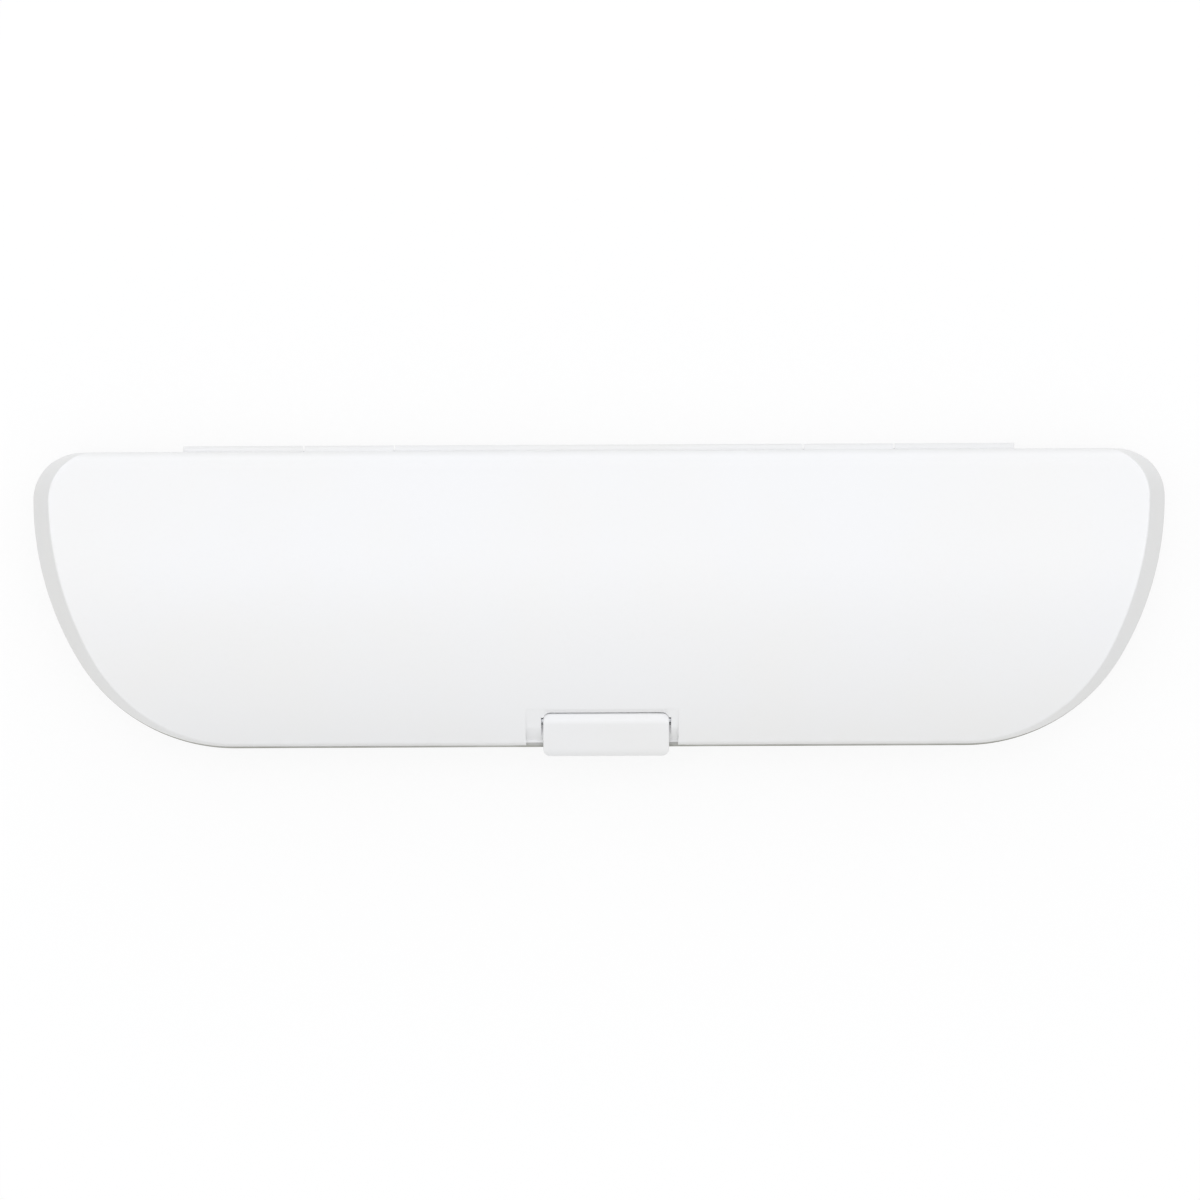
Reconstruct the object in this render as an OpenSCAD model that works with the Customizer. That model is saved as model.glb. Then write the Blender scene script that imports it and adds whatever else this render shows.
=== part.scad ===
// Travel case for an electric toothbrush and two brush heads.
// Two drafted plastic shells close on a pinned hinge along the back, and a
// swinging latch on the lid hooks under a ridge on the front of the base.
// Moulded inserts in both shells hold the handle and the heads.
// X runs along the case, -Y is the latch side and Z is up, in millimetres.

/* [Case] */
// Length of the case over its end walls, at the parting line
case_l = 222; // [210:1:240]
// Depth of the lid from the back wall to the front rim
case_d = 57.8; // [57:0.2:62]
// Height of the base, from the table to the parting line
base_h = 20; // [19:0.5:24]
// Height of the lid above the parting line
lid_h = 20; // [19:0.5:24]
// Thickness of both shells
wall = 1.8; // [1.6:0.1:2.2]
// How far the base's rim stands out in front of the lid's
rim_step = 0.3; // [0:0.1:0.6]

/* [Outline seen from above] */
// Radius of the two back corners
corner_r = 9.3; // [7:0.1:12]
// Radius of the long bow of each end wall
side_r = 61; // [50:1:70]
// Angle that the bow turns through before the front corner starts
side_turn = 31; // [26:1:34]

/* [Lid form] */
// Depth of the flat part of the lid's top, from the back
crown_flat = 20; // [16:0.5:24]
// Height of the lid's straight rim at the front
rim_h = 2.5; // [2:0.1:4]
// Rounding of the lid's back edge
lid_back_r = 3; // [2:0.5:5]
// How far the end walls lean in over the lid's height
lid_draft = 3.2; // [2:0.1:4]

/* [Base form] */
// Rounding under the front of the base
base_front_r = 14; // [8:0.5:15]
// Rounding under the back of the base
base_back_r = 4; // [2.5:0.5:6]
// How far the walls lean in over the base's height
base_draft = 2.5; // [1.5:0.1:3]
// Rounding of the base's bottom edge at the ends
foot_r = 1.6; // [0.8:0.1:2]

/* [Closing rim] */
// Height of the tongue that stands up inside the lid's rim
tongue_h = 1.4; // [0.8:0.1:1.8]
// Thickness of the tongue
tongue_t = 0.85; // [0.7:0.05:1]
// Gap between the tongue and the lid on each side
tongue_gap = 0.2; // [0.15:0.05:0.3]

/* [Hinge] */
// Distance from each end of the case to the row of knuckles
hinge_in = 29.5; // [24:0.5:36]
// Outer radius of a knuckle
knuckle_r = 1.8; // [1.7:0.1:2]
// How far the knuckles stand out behind the back wall
hinge_out = 1.2; // [1:0.1:1.4]
// Length of each end knuckle, which belongs to the base
base_knuckle_l = 23.6; // [18:0.1:28]
// Length of each lid knuckle, between an end knuckle and the middle one
lid_knuckle_l = 17.8; // [12:0.1:24]
// End gap between neighbouring knuckles
knuckle_gap = 0.3; // [0.2:0.05:0.5]
// Radial room around a knuckle in the other shell
relief_gap = 0.25; // [0.2:0.05:0.4]
// Radius of the groove along the rest of the back edge
groove_r = 1.25; // [1.2:0.05:1.4]
// Radius of the steel hinge pins
hinge_pin_r = 0.8; // [0.6:0.05:0.9]
// Length of each hinge pin
hinge_pin_l = 52; // [48:1:56]
// Thickness of both shells behind the hinge
rail_t = 3.6; // [3.4:0.1:4.2]
// Height of the thick rail on each side of the parting line
rail_h = 2.8; // [2.4:0.1:3.4]

/* [Latch] */
// Width of the latch
latch_w = 24.7; // [20:0.1:28]
// Place of the latch's middle along the case
latch_x = 1.2; // [0:0.1:2]
// Place of the recess's middle along the case
recess_x = 0.4; // [0:0.1:1]
// Width of the recess around the latch
recess_w = 29.8; // [29.4:0.1:34]
// Depth of the recess, back from the front rim
recess_d = 7.05; // [6.9:0.05:8]
// Depth of the recess's floor under the lid's surface, where it drops
recess_floor = 0.6; // [0.5:0.05:0.7]
// Depth of the floor at the back of the recess
recess_step = 0.1; // [0.05:0.05:0.2]
// How far behind the rim the floor drops steeply
recess_drop = 3.4; // [3.3:0.05:3.6]
// Distance in front of the rim that the latch reaches
latch_out = 2.1; // [2:0.1:2.4]
// Radius of the latch's pivot barrel
barrel_r = 1.3; // [1.2:0.05:1.45]
// Depth of the pivot under the lid's surface
pivot_deep = 1.25; // [1.2:0.05:1.4]
// Distance of the pivot's foot point behind the front rim
pivot_in = 4.2; // [4.1:0.05:4.4]
// Rounding of the latch's top edge, behind its barrel
latch_head_r = 0.45; // [0.35:0.05:0.6]
// Radial room around the barrel and the top edge as the latch turns
barrel_gap = 0.2; // [0.2:0.05:0.3]
// Radius of the steel latch pin
latch_pin_r = 0.5; // [0.4:0.05:0.6]
// Length of the latch pin
latch_pin_l = 28.4; // [27:0.1:29]
// Slope of the latch's upper face
latch_slope = 45; // [43:1:47]
// Radius where the latch's face bends down
latch_bend_r = 5; // [4:0.1:5.5]
// Thickness of the latch
latch_t = 1.25; // [1.1:0.05:1.4]
// Room under the latch's plate
plate_gap = 0.3; // [0.2:0.05:0.4]
// Height of the latch's lower edge above the table
latch_low = 13.2; // [12:0.1:13.6]
// Rounding of the latch's corners
latch_corner_r = 1.4; // [0.6:0.1:2]
// Height of the lip inside the latch's lower edge
lip_h = 1.1; // [0.8:0.1:1.3]
// Height of the catch ridge's middle above the table
ridge_z = 16.6; // [16.2:0.1:17]
// Radius of the catch ridge
ridge_r = 0.9; // [0.7:0.05:1]
// How far the catch ridge stands out from the lid's rim line
ridge_out = 0.45; // [0.35:0.05:0.5]
// Length of the catch ridge
ridge_l = 18; // [10:1:20]
// Room between the lip's path and the ridge as the lid swings
ridge_gap = 0.12; // [0.1:0.02:0.2]

/* [Inserts] */
// Thickness of both inserts
insert_t = 1.2; // [1:0.1:1.4]
// Gap between an insert's edge and the shell
insert_gap = 0.35; // [0.3:0.05:0.6]
// Radius of the channel for the toothbrush handle
handle_r = 14.6; // [13:0.1:15]
// Distance from each end of the case to the handle channel
handle_end = 12; // [11:0.5:21]
// Distance of the handle's axis in front of the back wall
handle_in = 20.4; // [20:0.1:21]
// Step of an insert's face back from the parting line
insert_step = 1; // [0.9:0.1:1.5]
// Length of each brush head pocket
head_l = 76; // [70:1:80]
// Width of each brush head pocket
head_w = 15; // [13:0.5:15.5]
// Depth of each brush head pocket under the insert's face
head_deep = 10; // [8:0.5:10]
// Distance of a pocket's middle line behind the base's front rim
head_in = 13; // [12.2:0.1:13.6]
// Half width of the land between the two pockets
head_land = 7.5; // [6.5:0.5:10]
// Radius of the room for each head under the lid
head_room_r = 7.8; // [7:0.1:8]
// Distance of that room's axis behind the lid's front rim
head_room_in = 14.4; // [14:0.1:15]
// Radius of the finger scoop that lifts the handle
scoop_r = 11; // [9:0.5:12]
// Height of the turned edge around each insert
insert_edge = 3; // [2:0.5:4]

/* [Soft parts] */
// Thickness of the soft saddle pads
pad_t = 1.2; // [0.8:0.1:1.6]
// Length of each pad along the case
pad_l = 24; // [16:1:30]
// Angle that each pad covers
pad_angle = 110; // [80:5:120]
// Distance of each pad's middle from the end of the handle channel
pad_in = 37; // [25:1:49]
// Height of the head rests above the pocket's floor
rest_h = 8; // [6:0.5:9]
// Length of each head rest along the case
rest_l = 7; // [5:0.5:10]
// Radius of the notch for a head's neck
rest_notch_r = 3.4; // [3:0.1:4]
// Distance of each head rest from the inner end of its pocket
rest_in = 22.5; // [14:0.5:32]

/* [Ribs] */
// Thickness of the ribs that carry the inserts
rib_t = 1.6; // [1.2:0.1:2]
// Distance of each outer rib from the end of the handle channel
rib_in = 25; // [15:1:39]
// Gap between an insert and its ribs
rib_gap = 0.15; // [0.1:0.05:0.25]

/* [Hidden] */
$fn = 96;

// Room for cuts to run past a face
cut = 1;
top_z = base_h + lid_h;
half_l = case_l / 2;
// Centring of the whole case, with its hinge and latch, over the origin
shift_y = (case_d + latch_out - hinge_out) / 2;

// The lid's crown is one arc from the flat top down to the rim
crown_run = case_d - crown_flat;
crown_fall = lid_h - rim_h;
crown_r = (crown_run * crown_run + crown_fall * crown_fall) / (2 * crown_fall);
crown_c = [-crown_flat, top_z - crown_r];

// Hinge axis, level with the parting line
hinge_c = [hinge_out - knuckle_r, base_h];
hinge_half = half_l - hinge_in;
knuckle_end = hinge_half - base_knuckle_l;
knuckle_mid = knuckle_end - lid_knuckle_l;
relief_r = knuckle_r + relief_gap;
pin_fit = 0.02;
pin_play = 0.06;
pin_inset = 1;

// Pivot of the latch, under the lid's surface
pivot_foot = [pivot_in - case_d, crown_height(pivot_in - case_d)];
pivot_n = crown_normal(pivot_foot[0]);
pivot_c = pivot_foot - pivot_deep * pivot_n;
trough_r = (barrel_r - latch_head_r) * sqrt(2) + latch_head_r + barrel_gap;
boss_t = 1.1;
boss_gap = 0.45;
latch_side_gap = 0.4;
latch_back_gap = 0.08;
recess_half = recess_w / 2;
// The recess takes away the outer part of the front rim, and leaves a ledge
recess_rim = 0.6;
ledge_in = 1.1;
ledge_z = base_h + 1;

// Place of the catch ridge, and of the lip that passes it as the lid swings
ridge_c = [-case_d - ridge_out + ridge_r, ridge_z];
ridge_reach = norm(ridge_c - hinge_c) + ridge_r;
lip_top = latch_low + lip_h;
lip_reach = ridge_reach + ridge_gap;
lip_y = hinge_c[0] - sqrt(pow(lip_reach, 2) - pow(base_h - lip_top, 2));
latch_face = -case_d - latch_out;
latch_inner = latch_face + latch_t;

// Axis of the handle, level with the parting line, and what lies along it
handle_y = -handle_in;
handle_half = half_l - handle_end;
pad_x = handle_half - pad_in;
rib_x = handle_half - rib_in;
// Middle lines of the head pockets and of the room above them
head_y = head_in - case_d - rim_step;
head_room_y = head_room_in - case_d;
rest_x = head_land + rest_in;
tray_z = base_h - insert_step;
liner_z = base_h + insert_step;
// Half width of the stretch of front rim that the latch needs for itself
rim_break = recess_half + 1.6;
// The tongue and its groove stop this far in front of the back wall
tongue_back = 9;

white = [0.94, 0.945, 0.95];
insert_white = [0.89, 0.9, 0.91];
soft_grey = [0.62, 0.64, 0.66];
steel = [0.7, 0.71, 0.73];

// Height of the lid's crown, and its outward normal, at a depth y
function crown_height(y) = crown_c[1] + sqrt(crown_r * crown_r - pow(y - crown_c[0], 2));
function crown_normal(y) = [(y - crown_c[0]) / crown_r, (crown_height(y) - crown_c[1]) / crown_r];

// Points of an arc about c from angle a to angle b, in n steps; skip leaves out
// that many points at the start, where another arc already ends
function arc(c, r, a, b, n, skip = 0) =
    [for (i = [skip:n]) let (t = a + (b - a) * i / n) c + r * [cos(t), sin(t)]];

// Right half of the plan outline, from the front to the back. The two arcs of
// the end wall share a tangent, so an inset only shortens their radii. The
// draft moves the end wall in but leaves the back wall where it is.
function side_centre() = [half_l - side_r, -corner_r];
function front_r(depth) = (depth - corner_r - side_r * sin(side_turn)) / (1 - sin(side_turn));
function front_centre(depth) = side_centre() + (side_r - front_r(depth)) * [cos(side_turn), -sin(side_turn)];
function right_half(depth, inset, draft) = concat(
    arc(front_centre(depth), front_r(depth) - inset - draft, -90, -side_turn, 8),
    arc(side_centre(), side_r - inset - draft, -side_turn, 0, 5, 1),
    arc([half_l - corner_r - draft, -corner_r], corner_r - inset, 0, 90, 7, 1));
function outline(depth, inset, draft) =
    let (right = right_half(depth, inset, draft), n = len(right))
    concat(right, [for (i = [n - 1:-1:0]) [-right[i][0], right[i][1]]]);

// A solid between plan outlines at several heights, given as [z, inset, draft]
module drafted(depth, levels) {
    rings = [for (l = levels) [for (p = outline(depth, l[1], l[2])) [p[0], p[1], l[0]]]];
    n = len(rings[0]);
    m = len(levels);
    sides = [for (k = [0:m - 2]) for (i = [0:n - 1])
        [k * n + i, (k + 1) * n + i, (k + 1) * n + (i + 1) % n, k * n + (i + 1) % n]];
    polyhedron([for (r = rings) each r],
               concat([[for (i = [0:n - 1]) i]], sides, [[for (i = [n - 1:-1:0]) (m - 1) * n + i]]));
}

// Draft of each shell's end walls at a height z
function lid_lean(z) = lid_draft * (z - base_h) / lid_h;
function base_lean(z) = base_draft * (base_h - z) / base_h;

// A profile in Y and Z drawn out from x0 to x1
module along_x(x0, x1) {
    translate([x0, 0, 0])
        rotate([90, 0, 90])
            linear_extrude(height = x1 - x0)
                children();
}

// A round bar or cutter along X, centred on c in Y and Z
module bar_x(c, r, x0, x1) {
    translate([x0, c[0], c[1]])
        rotate([0, 90, 0])
            cylinder(h = x1 - x0, r = r);
}

module box(x0, x1, y0, y1, z0, z1) {
    translate([x0, y0, z0])
        cube([x1 - x0, y1 - y0, z1 - z0]);
}

// Cross-section of the closed lid, outside
function lid_profile() = concat(
    [[0, base_h]],
    arc([-lid_back_r, top_z - lid_back_r], lid_back_r, 0, 90, 6),
    arc(crown_c, crown_r, 90, 90 + asin(crown_run / crown_r), 16),
    [[-case_d, base_h]]);

// Cross-section of the room inside the lid, with the rail behind the hinge.
// The gap keeps an insert clear of the crown and the front.
function lid_room(gap) = concat(
    [[-rail_t, base_h - cut], [-rail_t, base_h + rail_h], [-wall, base_h + rail_h + rail_t - wall]],
    arc([-lid_back_r, top_z - lid_back_r], lid_back_r - wall, 0, 90, 4),
    arc(crown_c, crown_r - wall - gap, 90,
        90 + asin((crown_run - wall - gap) / (crown_r - wall - gap)), 14),
    [[wall + gap - case_d, base_h - cut]]);

// Cross-section of the base, outside and inside
base_d = case_d + rim_step;
function base_profile() = concat(
    [[-base_d, base_h + cut]],
    arc([-base_d + base_front_r, base_front_r], base_front_r, 180, 270, 10),
    arc([-base_back_r, base_back_r], base_back_r, 270, 360, 6),
    [[0, base_h + cut]]);
function base_room() = concat(
    [[wall - base_d, base_h + 2 * cut]],
    arc([-base_d + base_front_r, base_front_r], base_front_r - wall, 180, 270, 8),
    arc([-base_back_r, base_back_r], base_back_r - wall, 270, 360, 4),
    [[-wall, base_h - rail_h - rail_t + wall], [-rail_t, base_h - rail_h], [-rail_t, base_h + 2 * cut]]);

module base_block() {
    intersection() {
        drafted(base_d, [[0, 0, base_lean(0) + foot_r],
                         [foot_r * 0.3, 0, base_lean(foot_r * 0.3) + foot_r * 0.29],
                         [foot_r, 0, base_lean(foot_r)],
                         [base_h, 0, 0]]);
        along_x(-half_l - cut, half_l + cut)
            polygon(base_profile());
    }
}

module base_hollow() {
    intersection() {
        drafted(base_d, [[wall, wall, base_lean(wall)], [base_h + cut, wall, base_lean(base_h + cut)]]);
        along_x(-half_l, half_l)
            polygon(base_room());
    }
}

module lid_block() {
    intersection() {
        drafted(case_d, [[base_h, 0, 0], [top_z + cut, 0, lid_lean(top_z + cut)]]);
        along_x(-half_l - cut, half_l + cut)
            polygon(lid_profile());
    }
}

module lid_hollow() {
    intersection() {
        drafted(case_d, [[base_h - cut, wall, lid_lean(base_h - cut)], [top_z, wall, lid_lean(top_z)]]);
        along_x(-half_l, half_l)
            polygon(lid_room(0));
    }
}

// A band that follows the closing rim, between two insets, left out at the
// back and where the latch is
module rim_band(inset0, inset1, z0, z1) {
    difference() {
        translate([0, 0, z0])
            linear_extrude(height = z1 - z0)
                difference() {
                    polygon(outline(case_d, inset0, 0));
                    polygon(outline(case_d, inset1, 0));
                }
        box(-half_l, half_l, -tongue_back, cut, z0 - cut, z1 + cut);
        box(recess_x - rim_break, recess_x + rim_break, -case_d - cut, -case_d / 2, z0 - cut, z1 + cut);
    }
}

// The three ribs that carry an insert's handle channel, from z0 to z1
module ribs(z0, z1) {
    reach = handle_r + insert_t + rib_gap;
    for (x = [-rib_x, 0, rib_x])
        difference() {
            box(x - rib_t / 2, x + rib_t / 2, handle_y - handle_r * 0.75, handle_y + handle_r * 0.75, z0, z1);
            bar_x([handle_y, base_h], reach, x - rib_t, x + rib_t);
        }
}

// The base's and the lid's stretches of the hinge, each as [start, end]
base_knuckles = [[-hinge_half, -knuckle_end - knuckle_gap / 2],
                 [-knuckle_mid + knuckle_gap / 2, knuckle_mid - knuckle_gap / 2],
                 [knuckle_end + knuckle_gap / 2, hinge_half]];
lid_knuckles = [[-knuckle_end + knuckle_gap / 2, -knuckle_mid - knuckle_gap / 2],
                [knuckle_mid + knuckle_gap / 2, knuckle_end - knuckle_gap / 2]];

module knuckles(spans) {
    for (s = spans)
        bar_x(hinge_c, knuckle_r, s[0], s[1]);
}

module knuckle_relief(spans) {
    for (s = spans)
        bar_x(hinge_c, relief_r, s[0] - knuckle_gap, s[1] + knuckle_gap);
}

module end_grooves() {
    for (side = [-1, 1])
        bar_x(hinge_c, groove_r, side > 0 ? hinge_half : -half_l - cut, side > 0 ? half_l + cut : -hinge_half);
}

// Room for both hinge pins, with a closed end in the middle knuckle
module pin_bores(r) {
    blind = hinge_half - pin_inset - hinge_pin_l - 0.5;
    bar_x(hinge_c, r, blind, hinge_half + cut);
    bar_x(hinge_c, r, -hinge_half - cut, -blind);
}

module base_shell() {
    color(white)
        difference() {
            union() {
                difference() {
                    base_block();
                    base_hollow();
                    knuckle_relief(lid_knuckles);
                    end_grooves();
                }
                knuckles(base_knuckles);
                rim_band(wall - tongue_t, wall, base_h - tongue_h / 2, base_h + tongue_h);
                bar_x(ridge_c, ridge_r, recess_x - ridge_l / 2, recess_x + ridge_l / 2);
                ribs(wall / 2, base_h * 0.45);
            }
            pin_bores(hinge_pin_r + pin_fit);
        }
}

// Space that the handle takes, grown by g all round
module handle_space(g) {
    bar_x([handle_y, base_h], handle_r + g, -handle_half - g, handle_half + g);
}

// Space for one brush head in the tray: a slot with round ends
module head_slot(side, g) {
    r = head_w / 2;
    x0 = side > 0 ? head_land + r : -head_land - head_l + r;
    floor_z = tray_z - head_deep - g;
    translate([x0, head_y, floor_z])
        cylinder(h = head_deep + 2 * g + cut, r = r + g);
    translate([x0 + head_l - 2 * r, head_y, floor_z])
        cylinder(h = head_deep + 2 * g + cut, r = r + g);
    box(x0, x0 + head_l - 2 * r, head_y - r - g, head_y + r + g, floor_z, tray_z + g + cut);
}

// The dip in front of the handle where a finger reaches under it
module scoop(g) {
    translate([0, head_y + head_w / 2, tray_z])
        sphere(r = scoop_r + g);
}

module tray_spaces(g) {
    handle_space(g);
    for (side = [-1, 1])
        head_slot(side, g);
    scoop(g);
}

module tray_sheet(z0, z1) {
    edge = wall + insert_gap;
    drafted(base_d, [[z0, edge, base_lean(z0)], [z1, edge, base_lean(z1)]]);
}

module base_tray() {
    edge_z = tray_z - insert_edge;
    inner = wall + insert_gap + insert_t;
    color(insert_white)
        difference() {
            union() {
                difference() {
                    tray_sheet(edge_z, tray_z);
                    drafted(base_d, [[edge_z - cut, inner, base_lean(edge_z)],
                                     [tray_z - insert_t, inner, base_lean(edge_z)]]);
                }
                intersection() {
                    tray_spaces(insert_t);
                    box(-half_l, half_l, -base_d, 0, 0, tray_z);
                }
            }
            tray_spaces(0);
            box(-half_l, half_l, -rail_t - insert_gap, cut, 0, base_h);
        }
}

// Space for one brush head under the lid
module head_room(side, g) {
    x0 = side > 0 ? head_land : -head_land - head_l;
    bar_x([head_room_y, base_h], head_room_r + g, x0 - g, x0 + head_l + g);
}

module liner_spaces(g) {
    handle_space(g);
    for (side = [-1, 1])
        head_room(side, g);
}

module lid_liner() {
    edge_z = liner_z + insert_edge;
    inset = wall + insert_gap;
    color(insert_white)
        difference() {
            union() {
                intersection() {
                    difference() {
                        drafted(case_d, [[liner_z, inset, lid_lean(edge_z)], [edge_z, inset, lid_lean(edge_z)]]);
                        drafted(case_d, [[liner_z + insert_t, inset + insert_t, lid_lean(edge_z)],
                                         [edge_z + cut, inset + insert_t, lid_lean(edge_z)]]);
                    }
                    along_x(-half_l, half_l)
                        polygon(lid_room(insert_gap));
                }
                intersection() {
                    liner_spaces(insert_t);
                    box(-half_l, half_l, -case_d, 0, liner_z, top_z);
                }
            }
            liner_spaces(0);
            box(-half_l, half_l, -rail_t - insert_gap, cut, base_h, top_z);
            box(recess_x - rim_break - insert_gap, recess_x + rim_break + insert_gap,
                -case_d, pivot_c[0] + trough_r + boss_t + insert_gap, base_h, top_z);
        }
}

// Soft saddle on the wall of the handle channel: up is 1 in the lid, -1 in the tray
module saddle(x, up) {
    a = pad_angle / 2;
    far = 2 * handle_r;
    color(soft_grey)
        along_x(x - pad_l / 2, x + pad_l / 2)
            intersection() {
                difference() {
                    translate([handle_y, base_h])
                        circle(r = handle_r);
                    translate([handle_y, base_h])
                        circle(r = handle_r - pad_t);
                }
                polygon([[handle_y, base_h],
                         [handle_y - far * sin(a), base_h + up * far * cos(a)],
                         [handle_y, base_h + up * far * 2],
                         [handle_y + far * sin(a), base_h + up * far * cos(a)]]);
            }
}

module handle_pad_left() {
    saddle(-pad_x, -1);
}

module handle_pad_right() {
    saddle(pad_x, -1);
}

module lid_pad_left() {
    saddle(-pad_x, 1);
}

module lid_pad_right() {
    saddle(pad_x, 1);
}

// Notched block on the floor of a head pocket
module head_rest(side) {
    x = side * rest_x;
    floor_z = tray_z - head_deep;
    half = head_w / 2;
    color(soft_grey)
        difference() {
            box(x - rest_l / 2, x + rest_l / 2, head_y - half, head_y + half, floor_z, floor_z + rest_h);
            bar_x([head_y, floor_z + rest_h * 0.6], rest_notch_r, x - rest_l, x + rest_l);
            box(x - rest_l, x + rest_l, head_y - rest_notch_r * 0.8, head_y + rest_notch_r * 0.8,
                floor_z + rest_h * 0.6, floor_z + rest_h + cut);
        }
}

module head_rest_left() {
    head_rest(-1);
}

module head_rest_right() {
    head_rest(1);
}

module hinge_pin(side) {
    outer = hinge_half - pin_inset;
    color(steel)
        bar_x(hinge_c, hinge_pin_r, side > 0 ? outer - hinge_pin_l : -outer, side > 0 ? outer : hinge_pin_l - outer);
}

module hinge_pin_left() {
    hinge_pin(-1);
}

module hinge_pin_right() {
    hinge_pin(1);
}

// Cutter for the recess that the latch sits in
module latch_recess() {
    back = recess_d - case_d;
    drop = recess_drop - case_d;
    rim = recess_rim - case_d;
    steps = 4;
    along_x(recess_x - recess_half, recess_x + recess_half)
        polygon(concat(
            [[back, top_z]],
            [for (i = [0:steps]) let (y = back + (drop - back) * i / steps)
                [y, crown_height(y) - recess_step - (recess_floor - recess_step) * i / steps]],
            [[ledge_in - case_d, ledge_z], [rim, ledge_z], [rim, base_h - cut],
             [-case_d - 2 * cut, base_h - cut], [-case_d - 2 * cut, top_z]]));
}

// Cross-section of the deeper trough under the latch: a steep wall down to a
// depth y behind the barrel, the round of the barrel, and a slope along the plate
function trough_section(edge) =
    let (n = [-sin(latch_slope), cos(latch_slope)],
         down = [-cos(latch_slope), -sin(latch_slope)],
         under = barrel_r - latch_t - plate_gap,
         start = under * n + sqrt(trough_r * trough_r - under * under) * down,
         run = (pivot_c[0] + under * n[0] - recess_rim + case_d) / cos(latch_slope),
         end = pivot_c + under * n + run * down,
         back = recess_d - case_d - 0.05)
    concat([[back, top_z], [back, crown_height(back) - recess_step]],
           arc(pivot_c, trough_r, acos((edge - pivot_c[0]) / trough_r), atan2(start[1], start[0]), 10),
           [end, [-case_d - 2 * cut, end[1]], [-case_d - 2 * cut, top_z]]);

// Cutter for the trough. Its wall follows the latch's rounded corners in steps.
module latch_trough() {
    steps = 4;
    for (k = [0:steps - 1]) {
        near = k == 0 ? -latch_side_gap : latch_corner_r * (1 - cos(90 * k / steps));
        edge = pivot_c[0] + barrel_r + latch_back_gap - latch_corner_r * (1 - sin(90 * (k + 1) / steps));
        along_x(latch_x - latch_w / 2 + near, latch_x + latch_w / 2 - near)
            polygon(trough_section(max(edge, pivot_c[0] + trough_r * cos(65))));
    }
}

// Solid behind the recess that carries the latch pin, and backs the trough
// down to the ledge
module latch_boss() {
    r = trough_r + boss_t;
    foot = [ledge_in - case_d + 0.6, ledge_z + boss_t];
    away = foot - pivot_c;
    a = atan2(away[1], away[0]) + acos((r - boss_t) / norm(away));
    side = [cos(a), sin(a)];
    along_x(recess_x - recess_half - 1.4, recess_x + recess_half + 1.4)
        intersection() {
            union() {
                translate(pivot_c)
                    circle(r = r);
                translate(foot)
                    circle(r = boss_t);
                polygon([pivot_c, pivot_c + r * side, foot + boss_t * side, foot]);
            }
            polygon(lid_profile());
            translate([-case_d, base_h + boss_gap])
                square([case_d, lid_h]);
        }
}

module lid_shell() {
    color(white)
        difference() {
            union() {
                difference() {
                    lid_block();
                    lid_hollow();
                    groove_band();
                    knuckle_relief(base_knuckles);
                    end_grooves();
                }
                knuckles(lid_knuckles);
                latch_boss();
                lid_ribs();
            }
            latch_recess();
            latch_trough();
            bar_x(pivot_c, latch_pin_r + pin_fit, latch_x - latch_pin_l / 2 - 0.3, latch_x + latch_pin_l / 2 + 0.3);
            pin_bores(hinge_pin_r + pin_play);
        }
}

// Groove inside the lid's rim for the base's tongue
module groove_band() {
    rim_band(wall - tongue_t - tongue_gap, wall + cut, base_h - cut, base_h + tongue_h + tongue_gap + 0.1);
}

module lid_ribs() {
    intersection() {
        ribs(base_h + lid_h * 0.55, top_z - wall / 2);
        along_x(-half_l, half_l)
            polygon(lid_profile());
    }
}

module latch_pin() {
    color(steel)
        bar_x(pivot_c, latch_pin_r, latch_x - latch_pin_l / 2, latch_x + latch_pin_l / 2);
}

// Side view of the latch's square top edge behind the barrel
function latch_head() =
    concat([pivot_c, pivot_c + [barrel_r, 0]],
           arc(pivot_c + (barrel_r - latch_head_r) * [1, 1], latch_head_r, 0, 90, 6),
           [pivot_c + [0, barrel_r]]);

// Side view of the latch: a barrel, a sloped plate that bends down, and a lip
function latch_plate() =
    let (n = [-sin(latch_slope), cos(latch_slope)],
         bend_y = latch_face + latch_bend_r,
         start = pivot_c + barrel_r * n,
         bend_start_y = bend_y + latch_bend_r * n[0],
         run = (start[0] - bend_start_y) / cos(latch_slope),
         bend_z = start[1] - run * sin(latch_slope) - latch_bend_r * n[1],
         bend = [bend_y, bend_z],
         a = 90 + latch_slope)
    concat([start],
           arc(bend, latch_bend_r, a, 180, 6),
           arc([latch_face + 0.7, latch_low + 0.7], 0.7, 180, 270, 3),
           [[lip_y - 0.2, latch_low], [lip_y, latch_low + 0.2], [lip_y, lip_top], [latch_inner, lip_top + 0.5]],
           arc(bend, latch_bend_r - latch_t, 180, a, 5),
           [pivot_c + (barrel_r - latch_t) * n]);

module latch() {
    x0 = latch_x - latch_w / 2;
    x1 = latch_x + latch_w / 2;
    color(white)
        difference() {
            intersection() {
                along_x(x0, x1)
                    union() {
                        polygon(latch_plate());
                        polygon(latch_head());
                        translate(pivot_c)
                            circle(r = barrel_r);
                    }
                latch_corners(x0, x1);
            }
            bar_x(pivot_c, latch_pin_r + pin_play, x0 - cut, x1 + cut);
        }
}

// Rounded outline of the latch, seen from above
module latch_corners(x0, x1) {
    r = latch_corner_r;
    y0 = latch_face;
    y1 = pivot_c[0] + barrel_r;
    linear_extrude(height = top_z)
        union() {
            for (x = [x0 + r, x1 - r])
                for (y = [y0 + r, y1 - r])
                    translate([x, y])
                        circle(r = r);
            translate([x0 + r, y0])
                square([x1 - x0 - 2 * r, y1 - y0]);
            translate([x0, y0 + r])
                square([x1 - x0, y1 - y0 - 2 * r]);
        }
}

// Places a sub-part in the case's own frame
module place() {
    translate([0, shift_y, 0])
        children();
}

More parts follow.
